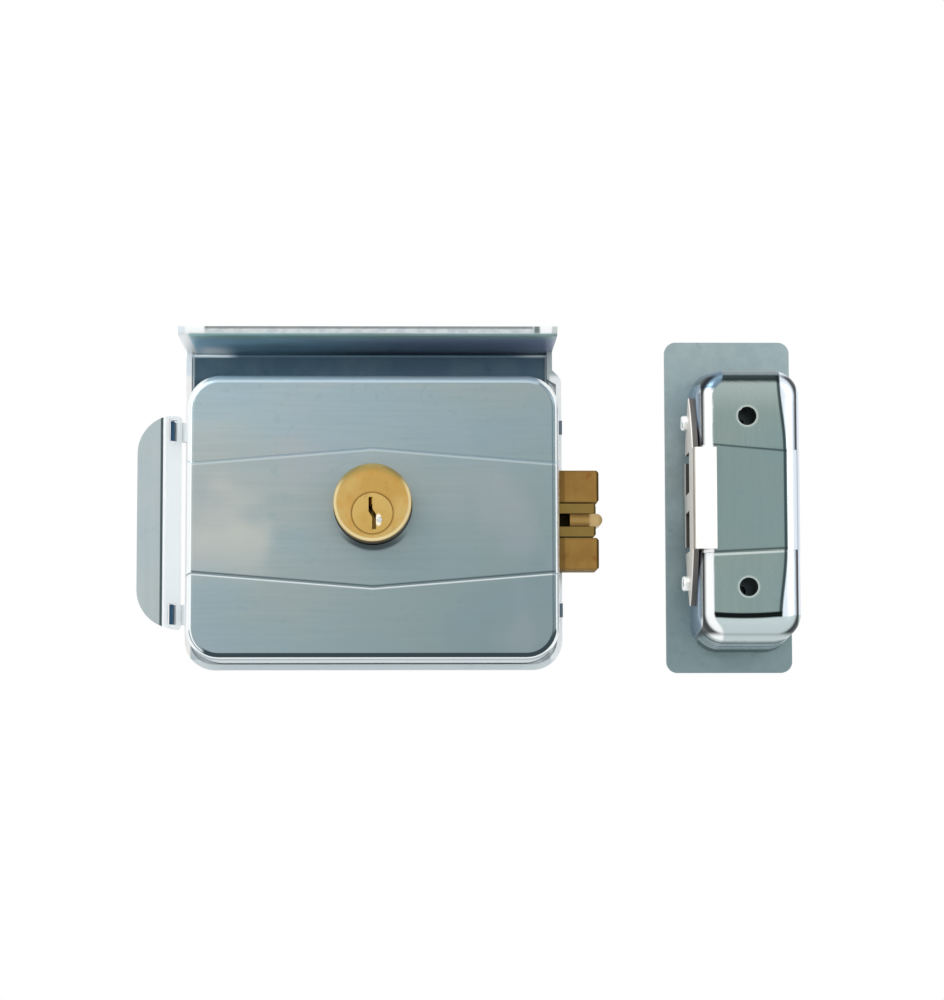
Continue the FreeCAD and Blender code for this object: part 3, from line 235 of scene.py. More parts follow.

# The canopy's lip: painted bright as the highlight on its hem, mottled, with a painted dark reflection line
# along its top, a painted highlight along its foot, painted highlights on its bare ends, and one dark nick.
lip_start, lip_half = -0.0488, 0.0605
nick_left, nick_right = 0.0583, 0.0601
lip = plate_zinc.rise(depth, lip_start, lip_start - 2 * soft)
mottle = plate_zinc.rise(plate_zinc.noise(plate_zinc.spread(260, 260, 500), 3.0), 0.4, 0.6)
plate_zinc.paint(lip * (0.35 + 0.5 * mottle), 216, 222, 224)
lip_top = lip * plate_zinc.rise(height, 0.0666, 0.0672)
lip_top = lip_top * plate_zinc.between(across, -lip_half, nick_left - 0.0005, 0.0006)
plate_zinc.paint(lip_top * 0.75, 110, 112, 114)
lip_foot = lip * plate_zinc.rise(height, 0.0658, 0.0654)
plate_zinc.paint(lip_foot * 0.6, 236, 240, 242)
lip_ends = lip * (1 - plate_zinc.between(across, -lip_half, lip_half, soft))
plate_zinc.paint(lip_ends * 0.9, 248, 250, 251)
nick = lip * plate_zinc.between(across, nick_left, nick_right, 0.0003)
plate_zinc.paint(nick * 0.8, 82, 96, 96)

# The bare rim: painted highlights at its sides, the strip right of the panel painted darker as shade, and
# paler along its foot.
strip_foot, rim_top, rim_foot = 0.05, 0.0545, -0.05
side_strip = front_on * plate_zinc.rise(height, strip_foot, strip_foot + 0.004)
plate_zinc.paint(side_strip * plate_zinc.rise(across, -0.067, -0.068) * 0.85, 218, 228, 234)
plate_zinc.paint(side_strip * plate_zinc.rise(across, 0.0642, 0.065) * 0.6, 150, 164, 162)
rim = front_on * plate_zinc.rise(height, rim_top + 0.002, rim_top)
plate_zinc.paint(rim * plate_zinc.rise(across, 0.0652, 0.066) * 0.9, 238, 242, 243)
plate_zinc.paint(rim * plate_zinc.rise(across, -0.0675, -0.0682) * 0.9, 238, 237, 235)
rim_low = front_on * plate_zinc.rise(height, rim_foot, rim_foot - 0.0012)
plate_zinc.paint(rim_low * 0.85, 206, 215, 218)
plate_zinc.surface(Base_Color=plate_zinc.tint, Metallic=0.9 - 0.5 * under)
dress(plate_zinc, "base_plate")


# Case cover. A drawn zinc-plated steel lid with a raised band across it whose edges run to a shallow point
# above and below the cylinder. It slips inside the rim of the back plate.

cover_half = 0.0677
cover_high = 0.0519
cover_corner = 0.012
cover_edge = 0.003
cover_sheet = 0.0015
cover_rear = -0.002
field_front = -0.037
band_front = -0.038
band_side = 0.0196
band_middle = 0.0251
band_drop = 0.0003
band_slope = 0.5


def pick(piece):
    """Makes the piece the only selected one."""
    bpy.ops.object.select_all(action="DESELECT")
    bpy.context.view_layer.objects.active = piece
    piece.select_set(True)


def rounded_block(name, half_width, half_height, corner, edge, rear, front):
    """Block with rounded upright corners and a rounded front edge, standing along Y."""
    bpy.ops.object.select_all(action="DESELECT")
    bpy.ops.mesh.primitive_plane_add(size=2.0, rotation=(math.pi / 2, 0.0, 0.0))
    block = bpy.context.object
    block.name = name
    bpy.ops.object.transform_apply(location=True, rotation=True, scale=True)
    bpy.ops.object.mode_set(mode="EDIT")
    bpy.ops.mesh.select_all(action="SELECT")
    bpy.ops.transform.resize(value=(half_width, 1.0, half_height))
    bpy.ops.mesh.bevel(offset=corner, segments=10, affect="VERTICES")
    bpy.ops.transform.translate(value=(0.0, rear, 0.0))
    bpy.ops.mesh.extrude_region_move(TRANSFORM_OT_translate={"value": (0.0, front - rear, 0.0)})
    bpy.ops.mesh.bevel(offset=edge, segments=6, affect="EDGES")
    bpy.ops.mesh.select_all(action="SELECT")
    bpy.ops.mesh.normals_make_consistent(inside=False)
    bpy.ops.object.mode_set(mode="OBJECT")
    return block


def cutter_box(low, high):
    """Box between two corners, for cutting."""
    bpy.ops.object.select_all(action="DESELECT")
    bpy.ops.mesh.primitive_cube_add(size=1.0)
    box = bpy.context.object
    bpy.ops.object.mode_set(mode="EDIT")
    bpy.ops.mesh.select_all(action="SELECT")
    bpy.ops.transform.resize(value=[b - a for a, b in zip(low, high)])
    bpy.ops.transform.translate(value=[(a + b) / 2 for a, b in zip(low, high)])
    bpy.ops.object.mode_set(mode="OBJECT")
    return box


def combine(piece, tool, operation):
    """Cuts or joins the piece with the tool, which is used up."""
    pick(piece)
    step = piece.modifiers.new(operation.lower(), "BOOLEAN")
    step.operation = operation
    step.solver = "EXACT"
    step.object = tool
    bpy.ops.object.modifier_apply(modifier=step.name)
    bpy.data.objects.remove(tool)


def keep_side(piece, place, outward):
    """Cuts the piece along a plane, closes it and drops what lies outward."""
    pick(piece)
    bpy.ops.object.mode_set(mode="EDIT")
    bpy.ops.mesh.select_all(action="SELECT")
    bpy.ops.mesh.bisect(plane_co=place, plane_no=outward, use_fill=True, clear_outer=True)
    bpy.ops.object.mode_set(mode="OBJECT")


def finish_shape(piece):
    """Merges doubles, turns every face outward and smooths only across the rounded edges."""
    pick(piece)
    bpy.ops.object.mode_set(mode="EDIT")
    bpy.ops.mesh.select_all(action="SELECT")
    bpy.ops.mesh.remove_doubles(threshold=0.00001)
    bpy.ops.mesh.normals_make_consistent(inside=False)
    bpy.ops.object.mode_set(mode="OBJECT")
    bpy.ops.object.shade_smooth_by_angle(angle=math.radians(35))
    weighted = piece.modifiers.new("flat_faces", "WEIGHTED_NORMAL")
    weighted.keep_sharp = True
    bpy.ops.object.modifier_apply(modifier=weighted.name)


cover = rounded_block("pressed_cover", cover_half, cover_high, cover_corner, cover_edge, cover_rear,
                      field_front)
band = rounded_block("band", cover_half, cover_high, cover_corner, cover_edge, cover_rear, band_front)
for side in (-1, 1):
    for level in (-1, 1):
        run = Vector((side * cover_half, 0.0, level * (band_side - band_middle)))
        outward = Vector((-run.z * side * level, 0.0, run.x * side * level)).normalized()
        outward.y = -band_slope
        keep_side(band, (0.0, band_front, level * band_middle - band_drop), outward)
combine(cover, band, "UNION")
hollow = rounded_block("hollow", cover_half - cover_sheet, cover_high - cover_sheet,
                       cover_corner - cover_sheet, cover_edge - cover_sheet, cover_rear + cover_sheet,
                       field_front + cover_sheet)
combine(cover, hollow, "DIFFERENCE")

# The hole for the cylinder, the mouth for the bolt, and slots for the staked tabs and the bracket's hooks.
cylinder_gap = 0.0003
room = 0.0004
cylinder_low, cylinder_high = (Vector(corner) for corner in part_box("cylinder_body"))
bpy.ops.object.select_all(action="DESELECT")
bpy.ops.mesh.primitive_cylinder_add(
    vertices=96, radius=(cylinder_high.x - cylinder_low.x) / 2 + cylinder_gap, depth=0.01,
    location=(0.0, field_front, (cylinder_low.z + cylinder_high.z) / 2), rotation=(math.pi / 2, 0.0, 0.0))
combine(cover, bpy.context.object, "DIFFERENCE")
bolt_low, bolt_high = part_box("bolt_block_lower")[0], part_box("bolt_block_upper")[1]
combine(cover, cutter_box((cover_half - 2 * cover_sheet, bolt_low[1] - room, bolt_low[2] - room),
                          (cover_half + room, bolt_high[1] + room, bolt_high[2] + room)), "DIFFERENCE")
tab_middle, tab_height, tab_place, tab_thick = 0.0335, 0.0056, -0.029, 0.003
hook_middle, hook_height, hook_place, hook_thick = 0.034, 0.008, -0.0088, 0.002
for level in (-1, 1):
    for side, middle, height, place, thick in ((1, tab_middle, tab_height, tab_place, tab_thick),
                                               (-1, hook_middle, hook_height, hook_place, hook_thick)):
        ends = sorted((side * (cover_half - 2 * cover_sheet), side * (cover_half + room)))
        combine(cover, cutter_box((ends[0], place - thick / 2, level * middle - height / 2),
                                  (ends[1], place + thick / 2, level * middle + height / 2)), "DIFFERENCE")
finish_shape(cover)
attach(cover, "case")
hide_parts("case_cover")

cover_zinc = zinc("zinc_cover", screen_colour(160, 180, 188), screen_colour(172, 180, 178),
                  screen_colour(132, 152, 156), shift=7.0, polish=0.27)
across, depth, height = (cover_zinc.axis(name) for name in "XYZ")
side_on, front_on, up_on = (cover_zinc.facing(name) for name in "XYZ")
to_right = cover_zinc.rise(across, -0.075, 0.085)
to_bottom = cover_zinc.rise(height, 0.06, -0.06)
cover_zinc.paint(to_right * 0.5 + to_bottom * 0.4, 114, 136, 140)
warm_patch = cover_zinc.rise(cover_zinc.noise(cover_zinc.spread(22, 22, 30, 2.0), 2.0), 0.46, 0.62)
warm_patch = warm_patch * cover_zinc.between(height, -0.018, 0.03, 0.012)
warm_patch = warm_patch * cover_zinc.rise(across, 0.02, -0.05)
cover_zinc.paint(warm_patch * 0.6, 192, 194, 186)
lilac = cover_zinc.rise(cover_zinc.noise(cover_zinc.spread(34, 34, 20, 5.0), 2.0), 0.5, 0.7)
cover_zinc.paint(lilac * 0.25, 164, 166, 178)
face_tint = cover_zinc.tint

# Along each chevron edge of the band, a painted shade line at its root and a painted highlight on its corner.
line_soft = 0.0003
slope = (band_middle - band_side) / cover_half
rise_to_middle = (cover_half - cover_zinc.size_of(across)) * slope
above_low = height + rise_to_middle + (band_side + band_drop)
above_high = height - rise_to_middle - (band_side - band_drop)
cover_zinc.paint(cover_zinc.between(above_low, 0.0, 0.0006, line_soft) * 0.85, 62, 78, 84)
cover_zinc.paint(cover_zinc.between(above_low, -0.0009, -0.0002, line_soft) * 0.9, 236, 243, 245)
cover_zinc.paint(cover_zinc.between(above_high, 0.0001, 0.0006, line_soft) * 0.7, 76, 94, 100)
cover_zinc.paint(cover_zinc.between(above_high, -0.0008, -0.0002, line_soft) * 0.45, 206, 218, 222)

# Round the edge: a painted dark reflection line where the bend starts at the right and below, then a painted
# highlight, bluish along the top as a painted reflection. Behind the edge the walls are plain, and painted
# paler to the left and below as lit.
lean = front_on + 1.0
dark_line_sides = cover_zinc.rise(side_on - up_on * 0.6, -0.06, 0.02)
at_foot = cover_zinc.rise(up_on, -0.02, -0.1)
late = lean - at_foot * 0.08
dark_reflection_line = cover_zinc.rise(lean, 0.002, 0.01) * cover_zinc.rise(late, 0.17, 0.1) * dark_line_sides
cover_zinc.paint(cover_zinc.rise(up_on, 0.03, 0.12), 182, 202, 214)
cover_zinc.paint(dark_reflection_line * (0.6 + at_foot * 0.35), 46, 60, 66)
highlight_sides = cover_zinc.rise(cover_zinc.size_of(side_on), 0.22, 0.42) + cover_zinc.rise(up_on, -0.2, -0.42)
highlight_sides = cover_zinc.rise(highlight_sides, 0.1, 0.9)
left_highlight = cover_zinc.between(lean, 0.05, 0.14, 0.03) * cover_zinc.rise(side_on, -0.2, -0.3)
highlight_edge = cover_zinc.rise(late, 0.12, 0.2) + left_highlight
cover_zinc.paint(cover_zinc.rise(highlight_edge, 0.1, 0.9) * highlight_sides, 246, 250, 251)
cover_zinc.paint(cover_zinc.rise(late, 0.22, 0.36) * cover_zinc.rise(up_on, -0.5, -0.7), 174, 188, 192)
wall_front = -0.0345
wall = cover_zinc.rise(depth, wall_front, wall_front + 0.001)
wall_tint = cover_zinc.mix(cover_zinc.rise(up_on, -0.5, -0.8), face_tint, screen_colour(206, 216, 220))
wall_tint = cover_zinc.mix(cover_zinc.rise(side_on, -0.5, -0.8), wall_tint, screen_colour(248, 251, 252))
cover_zinc.tint = cover_zinc.mix(wall, cover_zinc.tint, wall_tint)

# A dull arc below the cylinder, where it shades the cover.
shade_x, shade_z, shade_radius = 0.0003, 0.003, 0.0147
below = cover_zinc.rise(cover_zinc.from_point(shade_x, shade_z), shade_radius + 0.0011, shade_radius)
cover_zinc.paint(below * cover_zinc.rise(height, -0.004, -0.0105) * 0.85, 58, 70, 76)
top_edge = cover_zinc.rise(up_on, 0.03, 0.2)
cover_zinc.surface(Base_Color=cover_zinc.tint, Metallic=0.9 - 0.35 * top_edge)
cover.data.materials.clear()
cover.data.materials.append(cover_zinc.material)


# Side plates and bracket. Folded zinc-plated sheet: two uprights inside the case, staked through its sides,
# and the slotted wing that hangs on the hooks at the left.

wing_zinc = zinc("zinc_wing", screen_colour(168, 182, 188), screen_colour(176, 186, 186),
                 screen_colour(150, 164, 168), along=(400.0, 400.0, 30.0), shift=11.0, polish=0.3)
# The bend is painted as a dark reflection line, and the sloping strip past it is painted white as a
# highlight.
turned = wing_zinc.facing("X")
wing_zinc.paint(wing_zinc.rise(turned, 0.04, 0.12), 76, 90, 94)
sloping = wing_zinc.rise(turned, 0.3, 0.42)
wing_zinc.paint(sloping, 250, 253, 254)
wing_zinc.surface(Base_Color=wing_zinc.tint, Metallic=0.9 - 0.2 * sloping)
dress(wing_zinc, "side_bracket")
# These sheets are painted dark as the shade inside the case and behind the wing; the fronts of the hook necks
# are painted bright as a highlight, and the hook ends painted dark blue as shade.
side_zinc = zinc("zinc_side_sheet", screen_colour(92, 106, 118), screen_colour(108, 118, 126),
                 screen_colour(70, 84, 96), along=(500.0, 500.0, 30.0), shift=12.0, polish=0.3)
hook_bend = -0.0738
neck = side_zinc.between(side_zinc.axis("X"), hook_bend, -0.0676, 0.0002)
side_zinc.paint(neck * side_zinc.rise(side_zinc.facing("Y"), -0.4, -0.7), 230, 236, 239)
side_zinc.paint(side_zinc.rise(side_zinc.axis("X"), -0.0736, -0.074), 52, 84, 110)
side_zinc.surface(Base_Color=side_zinc.tint)
dress(side_zinc, "left_side_plate", "bolt_side_plate")


# Key cylinder. A round body turned from brass bar, with a plug that turns in it, a stepped keyway and a
# hardened steel pin in its face. Fine turning marks run round it.

def brass(name, light, deep, dark, marks, polish=0.28, shift=0.0):
    """Machined brass; marks(finish) gives the height of its tool marks."""
    machined = Finish(name)
    clouds = machined.rise(machined.noise(machined.spread(60, 60, 60, shift), 3.0), 0.35, 0.65)
    cut = marks(machined)
    stains_and_shade_patches = machined.rise(machined.noise(machined.spread(260, 260, 260, shift), 3.0), 0.58, 0.75)
    tint = machined.mix(clouds, light, deep)
    tint = machined.mix(cut * 0.35, tint, dark)
    machined.tint = machined.mix(stains_and_shade_patches * 0.3, tint, dark)
    machined.surface(
        Base_Color=machined.tint,
        Metallic=0.95,
        Roughness=polish + 0.12 * cut + 0.08 * stains_and_shade_patches,
        Normal=machined.relief(cut, 0.00003, 0.6),
    )
    return machined


cylinder_rise = 0.004
cylinder_radius = 0.014
plug_radius = 0.0074


def turned_marks(machined):
    """Rings round the cylinder's own axis."""
    radius = machined.from_point(0.0, cylinder_rise)
    rings = machined.node("ShaderNodeCombineXYZ", {}, {0: radius * 2600.0, 1: machined.axis("Y") * 900.0})
    return machined.noise(rings, 4.0)


turned_brass = brass("brass_turned", screen_colour(210, 180, 112), screen_colour(200, 162, 90),
                     screen_colour(140, 104, 50), turned_marks)
amber = turned_brass.rise(turned_brass.noise(turned_brass.spread(150, 150, 150, 8.0), 2.0), 0.5, 0.66)
turned_brass.paint(amber * 0.4, 196, 142, 62)
# The underside of the body is painted dark brown as shade.
side_wall = turned_brass.rise(turned_brass.facing("Y"), -0.3, -0.1)
below = turned_brass.rise(turned_brass.facing("Z"), 0.1, -0.3)
turned_brass.paint(side_wall * below * 0.85, 112, 82, 50)
# A painted highlight round the rim of the face, with the rim's top painted dull olive as shade.
from_centre = turned_brass.from_point(0.0, cylinder_rise)
rim = turned_brass.between(from_centre, cylinder_radius - 0.0011, cylinder_radius - 0.0002, 0.0003)
turned_brass.paint(rim * (1 - side_wall) * 0.65, 250, 238, 190)
rim_top = turned_brass.rise(turned_brass.from_point(0.0, cylinder_rise - 0.0014), 0.0118, 0.0142)
rim_top = rim_top * turned_brass.rise(turned_brass.axis("Z"), 0.008, 0.0135)
turned_brass.paint(rim_top * 0.8, 158, 138, 80)
plug_ring = turned_brass.rise(turned_brass.from_point(0.0, 0.0), plug_radius + 0.0008, plug_radius)
turned_brass.paint(plug_ring * 0.7, 136, 100, 44)
turned_brass.surface(Base_Color=turned_brass.tint)
dress(turned_brass, "cylinder_body", "driver_pins")
plug_brass = brass("brass_plug", screen_colour(216, 186, 114), screen_colour(204, 168, 92),
                   screen_colour(146, 110, 52), turned_marks, polish=0.24, shift=5.0)
# A painted highlight in an upright oval where the keyway's wall shines.
pin_x, pin_z, pin_narrow, highlight_radius = 0.0022, -0.0024, 1.9, 0.0016
round_pin = plug_brass.from_point(pin_x, pin_z, pin_narrow)
plug_brass.paint(plug_brass.rise(round_pin, highlight_radius + 0.001, highlight_radius), 255, 246, 226)
plug_brass.surface(Base_Color=plug_brass.tint)
dress(plug_brass, "cylinder_plug", "key_pins")


def steel(name, pale, deep, along=(400.0, 400.0, 400.0), polish=0.24, shift=0.0):
    """Bright machined or drawn steel with fine scratches."""
    drawn = Finish(name)
    scratches = drawn.noise(drawn.spread(*along, shift), 5.0, 0.6)
    clouds = drawn.noise(drawn.spread(90, 90, 90, shift), 3.0)
    drawn.tint = drawn.mix(clouds, drawn.mix(scratches * 0.4, pale, deep), pale)
    drawn.surface(
        Base_Color=drawn.tint,
        Metallic=1.0,
        Roughness=polish + 0.16 * scratches,
        Normal=drawn.relief(scratches, 0.00002, 0.5),
    )
    return drawn


bright_steel = steel("steel_bright", screen_colour(214, 220, 222), screen_colour(150, 160, 166))
dress(bright_steel, "anti_drill_pin", "cylinder_screws", "cam_screw")


# Bolt. Two sawn brass blocks, milled on their faces and riveted to the sliding steel tail behind them.

def milled_marks(machined):
    """Fine cuts that run up and down the face of the block."""
    return machined.noise(machined.spread(1500, 300, 60), 4.0)


block_brass = brass("brass_block", screen_colour(160, 128, 68), screen_colour(146, 112, 58),
                    screen_colour(108, 76, 40), milled_marks, polish=0.32, shift=9.0)
block_tip, block_mouth = 0.0824, 0.0698
block_top, block_foot = 0.018, 0.0068
along_bolt = block_brass.axis("X")
block_brass.paint(block_brass.rise(along_bolt, block_tip - 0.001, block_tip) * 0.45, 104, 80, 42)
from_middle = block_brass.size_of(block_brass.axis("Z"))
border = block_brass.rise(from_middle, block_top - 0.0006, block_top)
border = border + block_brass.rise(from_middle, block_foot + 0.0006, block_foot)
block_brass.paint(border * 0.35, 100, 78, 40)
# The underside is painted flat brown as shade, and the blocks are painted darker towards the mouth, where
# they go into the case's shade.
underside = block_brass.rise(block_brass.facing("Z"), -0.5, -0.7)
block_brass.paint(underside, 140, 112, 62)
block_brass.paint(block_brass.rise(along_bolt, block_mouth + 0.001, block_mouth) * 0.5, 84, 62, 32)
rust = block_brass.rise(block_brass.noise(block_brass.spread(170, 170, 170, 3.0), 2.0), 0.6, 0.72)
block_brass.paint(rust * 0.5, 124, 72, 36)
block_brass.surface(Base_Color=block_brass.tint, Metallic=0.95 - 0.9 * underside,
                    Roughness=0.36 + 0.5 * underside)
dress(block_brass, "bolt_block_upper", "bolt_block_lower")


# Trigger. The centre block between the bolt's two, with a round-ended nose pinned in its slot. The bar
# between the keeper's windows presses it in.

trigger_brass = brass("brass_trigger", screen_colour(142, 128, 62), screen_colour(136, 114, 62),
                      screen_colour(98, 74, 38), milled_marks, polish=0.32, shift=13.0)
# The slot in the front of the centre block is painted near black as shade.
pocket_half, pocket_front = 0.00245, -0.0236
pocket = trigger_brass.between(trigger_brass.axis("Z"), -pocket_half, pocket_half, 0.0001)
pocket = pocket * trigger_brass.rise(trigger_brass.axis("Y"), pocket_front, pocket_front + 0.0008)
trigger_brass.paint(pocket * 0.95, 14, 10, 6)
trigger_brass.surface(Base_Color=trigger_brass.tint)
dress(trigger_brass, "trigger_block")
nose_brass = brass("brass_nose", screen_colour(138, 108, 62), screen_colour(122, 94, 50),
                   screen_colour(82, 60, 32), milled_marks, polish=0.24, shift=17.0)
# The nose has a painted highlight along its middle and painted shade along its top and bottom; its tip is
# rubbed bright, and painted darker at its round end as shade.
rubbed_start, nose_end = 0.0788, 0.0838
along_nose = nose_brass.axis("X")
rubbed = nose_brass.rise(along_nose, rubbed_start, rubbed_start + 0.0014)
nose_middle = nose_brass.size_of(nose_brass.axis("Z"))
nose_highlight = nose_brass.rise(nose_middle, 0.0016, 0.0004)
nose_brass.paint(nose_highlight * 0.45, 186, 156, 92)
nose_brass.paint(nose_brass.rise(nose_middle, 0.0017, 0.0022) * 0.7, 66, 44, 20)
nose_brass.paint(rubbed * 0.85, 192, 165, 118)
nose_brass.paint(nose_brass.rise(along_nose, nose_end - 0.0016, nose_end) * 0.6, 132, 122, 78)
nose_brass.surface(Base_Color=nose_brass.tint)
dress(nose_brass, "trigger_nose")


# Works inside the case. Zinc-plated sheet parts, bright rivets and pins, oiled spring wire, and the
# electromagnet with its winding of enamelled copper on a nylon bobbin.

works_zinc = zinc("zinc_works", screen_colour(150, 164, 172), screen_colour(166, 174, 176),
                  screen_colour(116, 132, 140), shift=19.0)
dress(works_zinc, "bridge_plate", "bridge_posts", "guide_posts", "bolt_tail", "trigger_tail", "plug_cam",
      "spring_bracket", "coil_yoke", "armature", "pawl")
dress(bright_steel, "bridge_screws", "bolt_rivets", "trigger_pins", "pawl_pin", "spring_guide_rod",
      "terminal_screws")
spring_wire = steel("spring_wire", screen_colour(160, 164, 168), screen_colour(92, 98, 104),
                    along=(200.0, 1200.0, 1200.0), polish=0.3, shift=4.0)
dress(spring_wire, "bolt_spring", "trigger_spring", "armature_spring")

copper = Finish("copper_winding")
turns = copper.node("ShaderNodeTexWave", {"bands_direction": "X", "wave_profile": "SIN"},
                    {"Vector": copper.place, "Scale": 320.0, "Distortion": 0.6, "Detail": 1.0})
copper.surface(
    Base_Color=copper.mix(turns, screen_colour(96, 40, 20), screen_colour(198, 112, 66)),
    Metallic=0.8,
    Roughness=0.3 + 0.15 * turns,
    Normal=copper.relief(turns, 0.0002),
)
dress(copper, "coil_winding")

nylon = Finish("nylon_moulding")
grain = nylon.noise(nylon.spread(1800, 1800, 1800), 3.0)
patches = nylon.noise(nylon.spread(70, 70, 70), 3.0)
nylon.surface(
    Base_Color=nylon.mix(patches, screen_colour(46, 46, 48), screen_colour(66, 66, 70)),
    Roughness=0.45 + 0.2 * grain,
    Normal=nylon.relief(grain, 0.00006),
)
dress(nylon, "coil_bobbin", "terminal_block")


# Keeper. A flat zinc-plated base plate with a deep-drawn cover over it, whose edges are rounded large. Two
# screws through the cover's holes hold it to the gate post.

keeper_plate_zinc = zinc("zinc_keeper_plate", screen_colour(146, 164, 168), screen_colour(154, 168, 170),
                         screen_colour(118, 138, 142), along=(260.0, 260.0, 260.0), shift=23.0, polish=0.36)
lower_end = keeper_plate_zinc.rise(keeper_plate_zinc.axis("Z"), 0.03, -0.05)
keeper_plate_zinc.paint(lower_end * 0.45, 98, 122, 124)
keeper_plate_zinc.surface(Base_Color=keeper_plate_zinc.tint)
dress(keeper_plate_zinc, "keeper_base", "keeper_pillars")

keeper_zinc = zinc("zinc_keeper_cover", screen_colour(132, 154, 153), screen_colour(138, 154, 149),
                   screen_colour(104, 126, 127), along=(500.0, 500.0, 40.0), shift=29.0, polish=0.2)
across, depth, height = (keeper_zinc.axis(name) for name in "XYZ")
side_on, up_on = keeper_zinc.facing("X"), keeper_zinc.facing("Z")
band_foot, band_top = -0.0125, 0.0255
in_band = keeper_zinc.between(height, band_foot, band_top, 0.0008)
keeper_zinc.paint(in_band * 0.5, 118, 142, 142)
top_shine = keeper_zinc.rise(height, 0.036, 0.05)
keeper_zinc.paint(top_shine * 0.45, 186, 198, 194)

# The band's two edges lean a little: a painted shade line at the root of each, and a painted highlight on the
# lower one's corner.
band_left, line_soft = 0.1185, 0.0003
high_left, high_slope = 0.0268, 0.09
low_left, low_slope = -0.0133, 0.05
high_edge = height - (high_left - (across - band_left) * high_slope)
low_edge = height - (low_left + (across - band_left) * low_slope)
keeper_zinc.paint(keeper_zinc.between(high_edge, -0.0002, 0.0006, line_soft) * 0.85, 58, 72, 74)
keeper_zinc.paint(keeper_zinc.between(low_edge, 0.0001, 0.0008, line_soft) * 0.85, 58, 72, 72)
keeper_zinc.paint(keeper_zinc.between(low_edge, -0.0011, -0.0003, line_soft) * 0.8, 216, 226, 222)

# The big edge radius is painted bright as a highlight, with a painted dark reflection line along its start
# that bows in towards both ends of the cover, a broad painted dark band running straight along its top with
# paler above it, and, sagging a little, a painted dark line along its foot with paler below.
on_front = keeper_zinc.rise(depth, -0.0325, -0.0335)
band_height, band_half = 0.0065, 0.0185
face_edge, face_bow = 0.1502, 0.0022
past_band = keeper_zinc.rise(keeper_zinc.size_of(height - band_height), band_half, 0.045)
face_right = across - face_edge + face_bow * past_band
keeper_zinc.paint(keeper_zinc.between(face_right, -0.0009, 0.0002, line_soft) * 0.9, 42, 56, 60)
keeper_zinc.paint(keeper_zinc.rise(face_right, 0.0001, 0.0006), 222, 232, 242)
on_face = keeper_zinc.rise(face_right, 0.0006, -0.0002)
keeper_zinc.paint(keeper_zinc.rise(up_on, 0.06, 0.34) * on_face * 0.96, 26, 38, 40)
keeper_zinc.paint(keeper_zinc.rise(up_on, 0.58, 0.72) * on_face, 130, 144, 150)
face_middle, foot_depth, foot_sag = 0.1345, 0.0357, 3.6
from_middle = across - face_middle
face_foot = height + foot_depth - from_middle * from_middle * foot_sag
keeper_zinc.paint(keeper_zinc.between(face_foot, -0.0011, 0.0008, line_soft) * on_front * on_face, 12, 18, 18)
keeper_zinc.paint(keeper_zinc.rise(face_foot, -0.001, -0.0016), 188, 202, 204)
# The left side is painted white as a highlight, with its upper end and its far side painted bluish as
# reflections.
keeper_zinc.paint(keeper_zinc.rise(side_on, -0.06, -0.16), 246, 249, 250)
upper_left = keeper_zinc.rise(side_on, -0.03, -0.1) * keeper_zinc.rise(height, 0.0458, 0.0478)
keeper_zinc.paint(upper_left, 104, 128, 146)
keeper_zinc.paint(keeper_zinc.rise(side_on, -0.8, -0.93), 132, 156, 178)
# On the underside, pale bands are painted as highlights, and dark bands on the skirt and towards the back as
# dark reflections.
foot_on = keeper_zinc.rise(up_on, -0.45, -0.7)
keeper_zinc.paint(keeper_zinc.between(depth, -0.0225, -0.0185, 0.001) * foot_on, 196, 210, 216)
keeper_zinc.paint(keeper_zinc.between(depth, -0.015, -0.012, 0.0008) * foot_on, 206, 220, 226)
skirt = keeper_zinc.between(depth, -0.0275, -0.0235, 0.001)
skirt = skirt + keeper_zinc.between(depth, -0.0172, -0.016, 0.0008)
keeper_zinc.paint((skirt + keeper_zinc.rise(depth, -0.0105, -0.0085)) * foot_on * 0.85, 70, 90, 98)
# Inside the cover is painted dark as shade.
inner_left, inner_right, inner_foot, inner_top, inner_front = 0.1197, 0.1546, -0.0425, 0.052, -0.0362
inside = keeper_zinc.between(across, inner_left, inner_right, 0.0002)
inside = inside * keeper_zinc.between(height, inner_foot, inner_top, 0.001)
inside = inside * keeper_zinc.rise(depth, inner_front, inner_front + 0.001)
keeper_zinc.paint(inside * 0.95, 30, 34, 36)
hole_x, hole_heights, hole_radius = 0.1363, (0.037, -0.0254), 0.003
for hole_height in hole_heights:
    hole = keeper_zinc.from_point(hole_x, hole_height)
    hole_rim = keeper_zinc.between(hole, hole_radius, hole_radius + 0.0011, line_soft)
    keeper_zinc.paint(hole_rim * 0.6, 196, 206, 200)
keeper_zinc.surface(Base_Color=keeper_zinc.tint)
dress(keeper_zinc, "keeper_cover")


# Keeper insert. A nickel-plated strike, brushed up and down, with two windows for the bolt. Two screws
# clamp it to the cover's side wall.

nickel = steel("nickel_brushed", screen_colour(252, 248, 244), screen_colour(226, 216, 208),
               along=(900.0, 900.0, 50.0), polish=0.34, shift=31.0)
left_on = nickel.rise(nickel.facing("X"), -0.4, -0.75)
nickel.paint(left_on * 0.9, 206, 202, 194)
# Inside the windows the strike is painted dark as shade.
window_left, window_front = 0.1162, -0.0375
in_window = nickel.rise(nickel.axis("X"), window_left, window_left + 0.0004)
in_window = in_window * nickel.rise(nickel.axis("Y"), window_front, window_front + 0.001)
nickel.paint(in_window * 0.9, 52, 52, 50)
nickel.surface(Base_Color=nickel.tint)
dress(nickel, "keeper_insert")
screw_steel = steel("steel_screws", screen_colour(246, 250, 250), screen_colour(196, 204, 202), shift=37.0)
dress(screw_steel, "insert_screws")


# Stage: a pale floor well below the lock, soft lamps and a white background, and the camera where the
# photograph was taken from, a little below the lock and looking up at it.

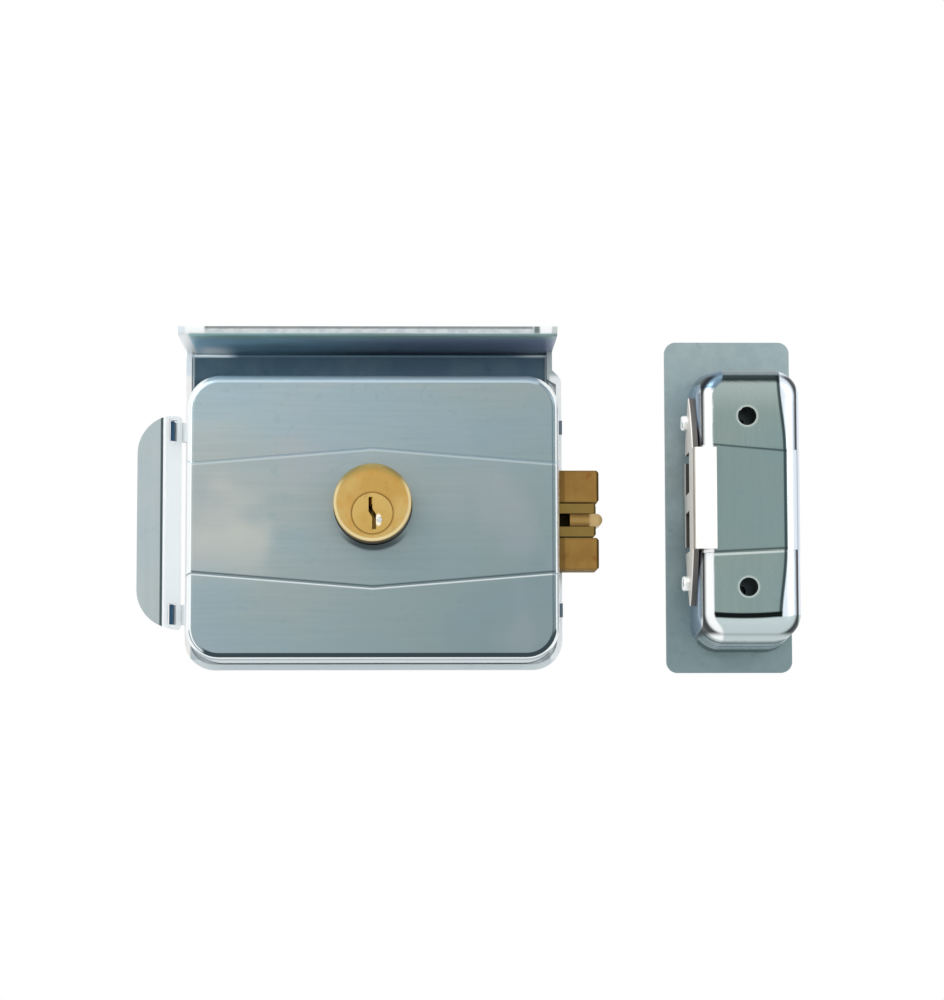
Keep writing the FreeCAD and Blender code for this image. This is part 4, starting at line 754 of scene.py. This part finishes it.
floor_height = -0.2
floor_radius = 1.4
sky_level = 0.5
white_colour = (1.0, 1.0, 1.0, 1.0)
looked_at = Vector((0.04, 0.0, 0.0))
bpy.ops.object.select_all(action="DESELECT")
bpy.ops.mesh.primitive_circle_add(vertices=96, radius=floor_radius, fill_type="NGON",
                                  location=(looked_at.x, looked_at.y, floor_height))
floor = bpy.context.object
floor.name = "studio_floor"
pale = Finish("pale_floor")
pale.surface(Base_Color=(0.8, 0.8, 0.8, 1.0), Roughness=0.8)
from_lock = pale.node("ShaderNodeVectorMath", {"operation": "LENGTH"}, {0: pale.place}, "Value")
white = pale.node("ShaderNodeEmission", {}, {"Color": white_colour, "Strength": 1.0})
mirrored = pale.node("ShaderNodeLightPath", output="Is Glossy Ray")
faded = pale.rise(from_lock, 0.2, 0.3)
share = pale.node("ShaderNodeMath", {"operation": "MAXIMUM"}, {0: faded, 1: mirrored})
plain = Value(pale, pale.shader.outputs[0])
blended = pale.node("ShaderNodeMixShader", {}, {0: share, 1: plain, 2: white})
pale.feed(pale.tree.nodes["Material Output"].inputs["Surface"], blended)
floor.data.materials.append(pale.material)

scene = bpy.context.scene
world = bpy.data.worlds.new("studio")
scene.world = world
studio = Shading(world)
seen_straight = studio.node("ShaderNodeLightPath", output="Is Camera Ray")
seen_mirrored = studio.node("ShaderNodeLightPath", output="Is Glossy Ray")
seen = studio.node("ShaderNodeMath", {"operation": "MAXIMUM"}, {0: seen_straight, 1: seen_mirrored})
level = studio.node("ShaderNodeMapRange", {}, {"Value": seen, "To Min": sky_level, "To Max": 1.0})
sky = studio.tree.nodes["Background"]
studio.feed(sky.inputs["Color"], white_colour)
studio.feed(sky.inputs["Strength"], level)


def lamp(name, place, width, power):
    """A square soft lamp turned to the lock."""
    light = bpy.data.lights.new(name, "AREA")
    light.shape = "SQUARE"
    light.size = width
    light.energy = power
    holder = bpy.data.objects.new(name, light)
    scene.collection.objects.link(holder)
    holder.location = place
    holder.rotation_euler = (looked_at - Vector(place)).to_track_quat("-Z", "Y").to_euler()


lamp("key_lamp", (-0.7, -0.9, 0.8), 0.6, 7.0)
lamp("fill_lamp", (0.9, -0.9, 0.3), 0.6, 3.0)
lamp("top_lamp", (0.0, -0.3, 1.2), 0.7, 1.5)

photo_place = (0.01371, -1.10718, -0.09282)
photo_turn = (95.284, 0.105, -1.18)
camera_data = bpy.data.cameras.new("camera")
camera_data.sensor_width = 36.0
camera_data.lens = 106.68
camera = bpy.data.objects.new("camera", camera_data)
scene.collection.objects.link(camera)
camera.location = photo_place
camera.rotation_euler = [math.radians(angle) for angle in photo_turn]
scene.camera = camera
scene.view_settings.view_transform = "Standard"
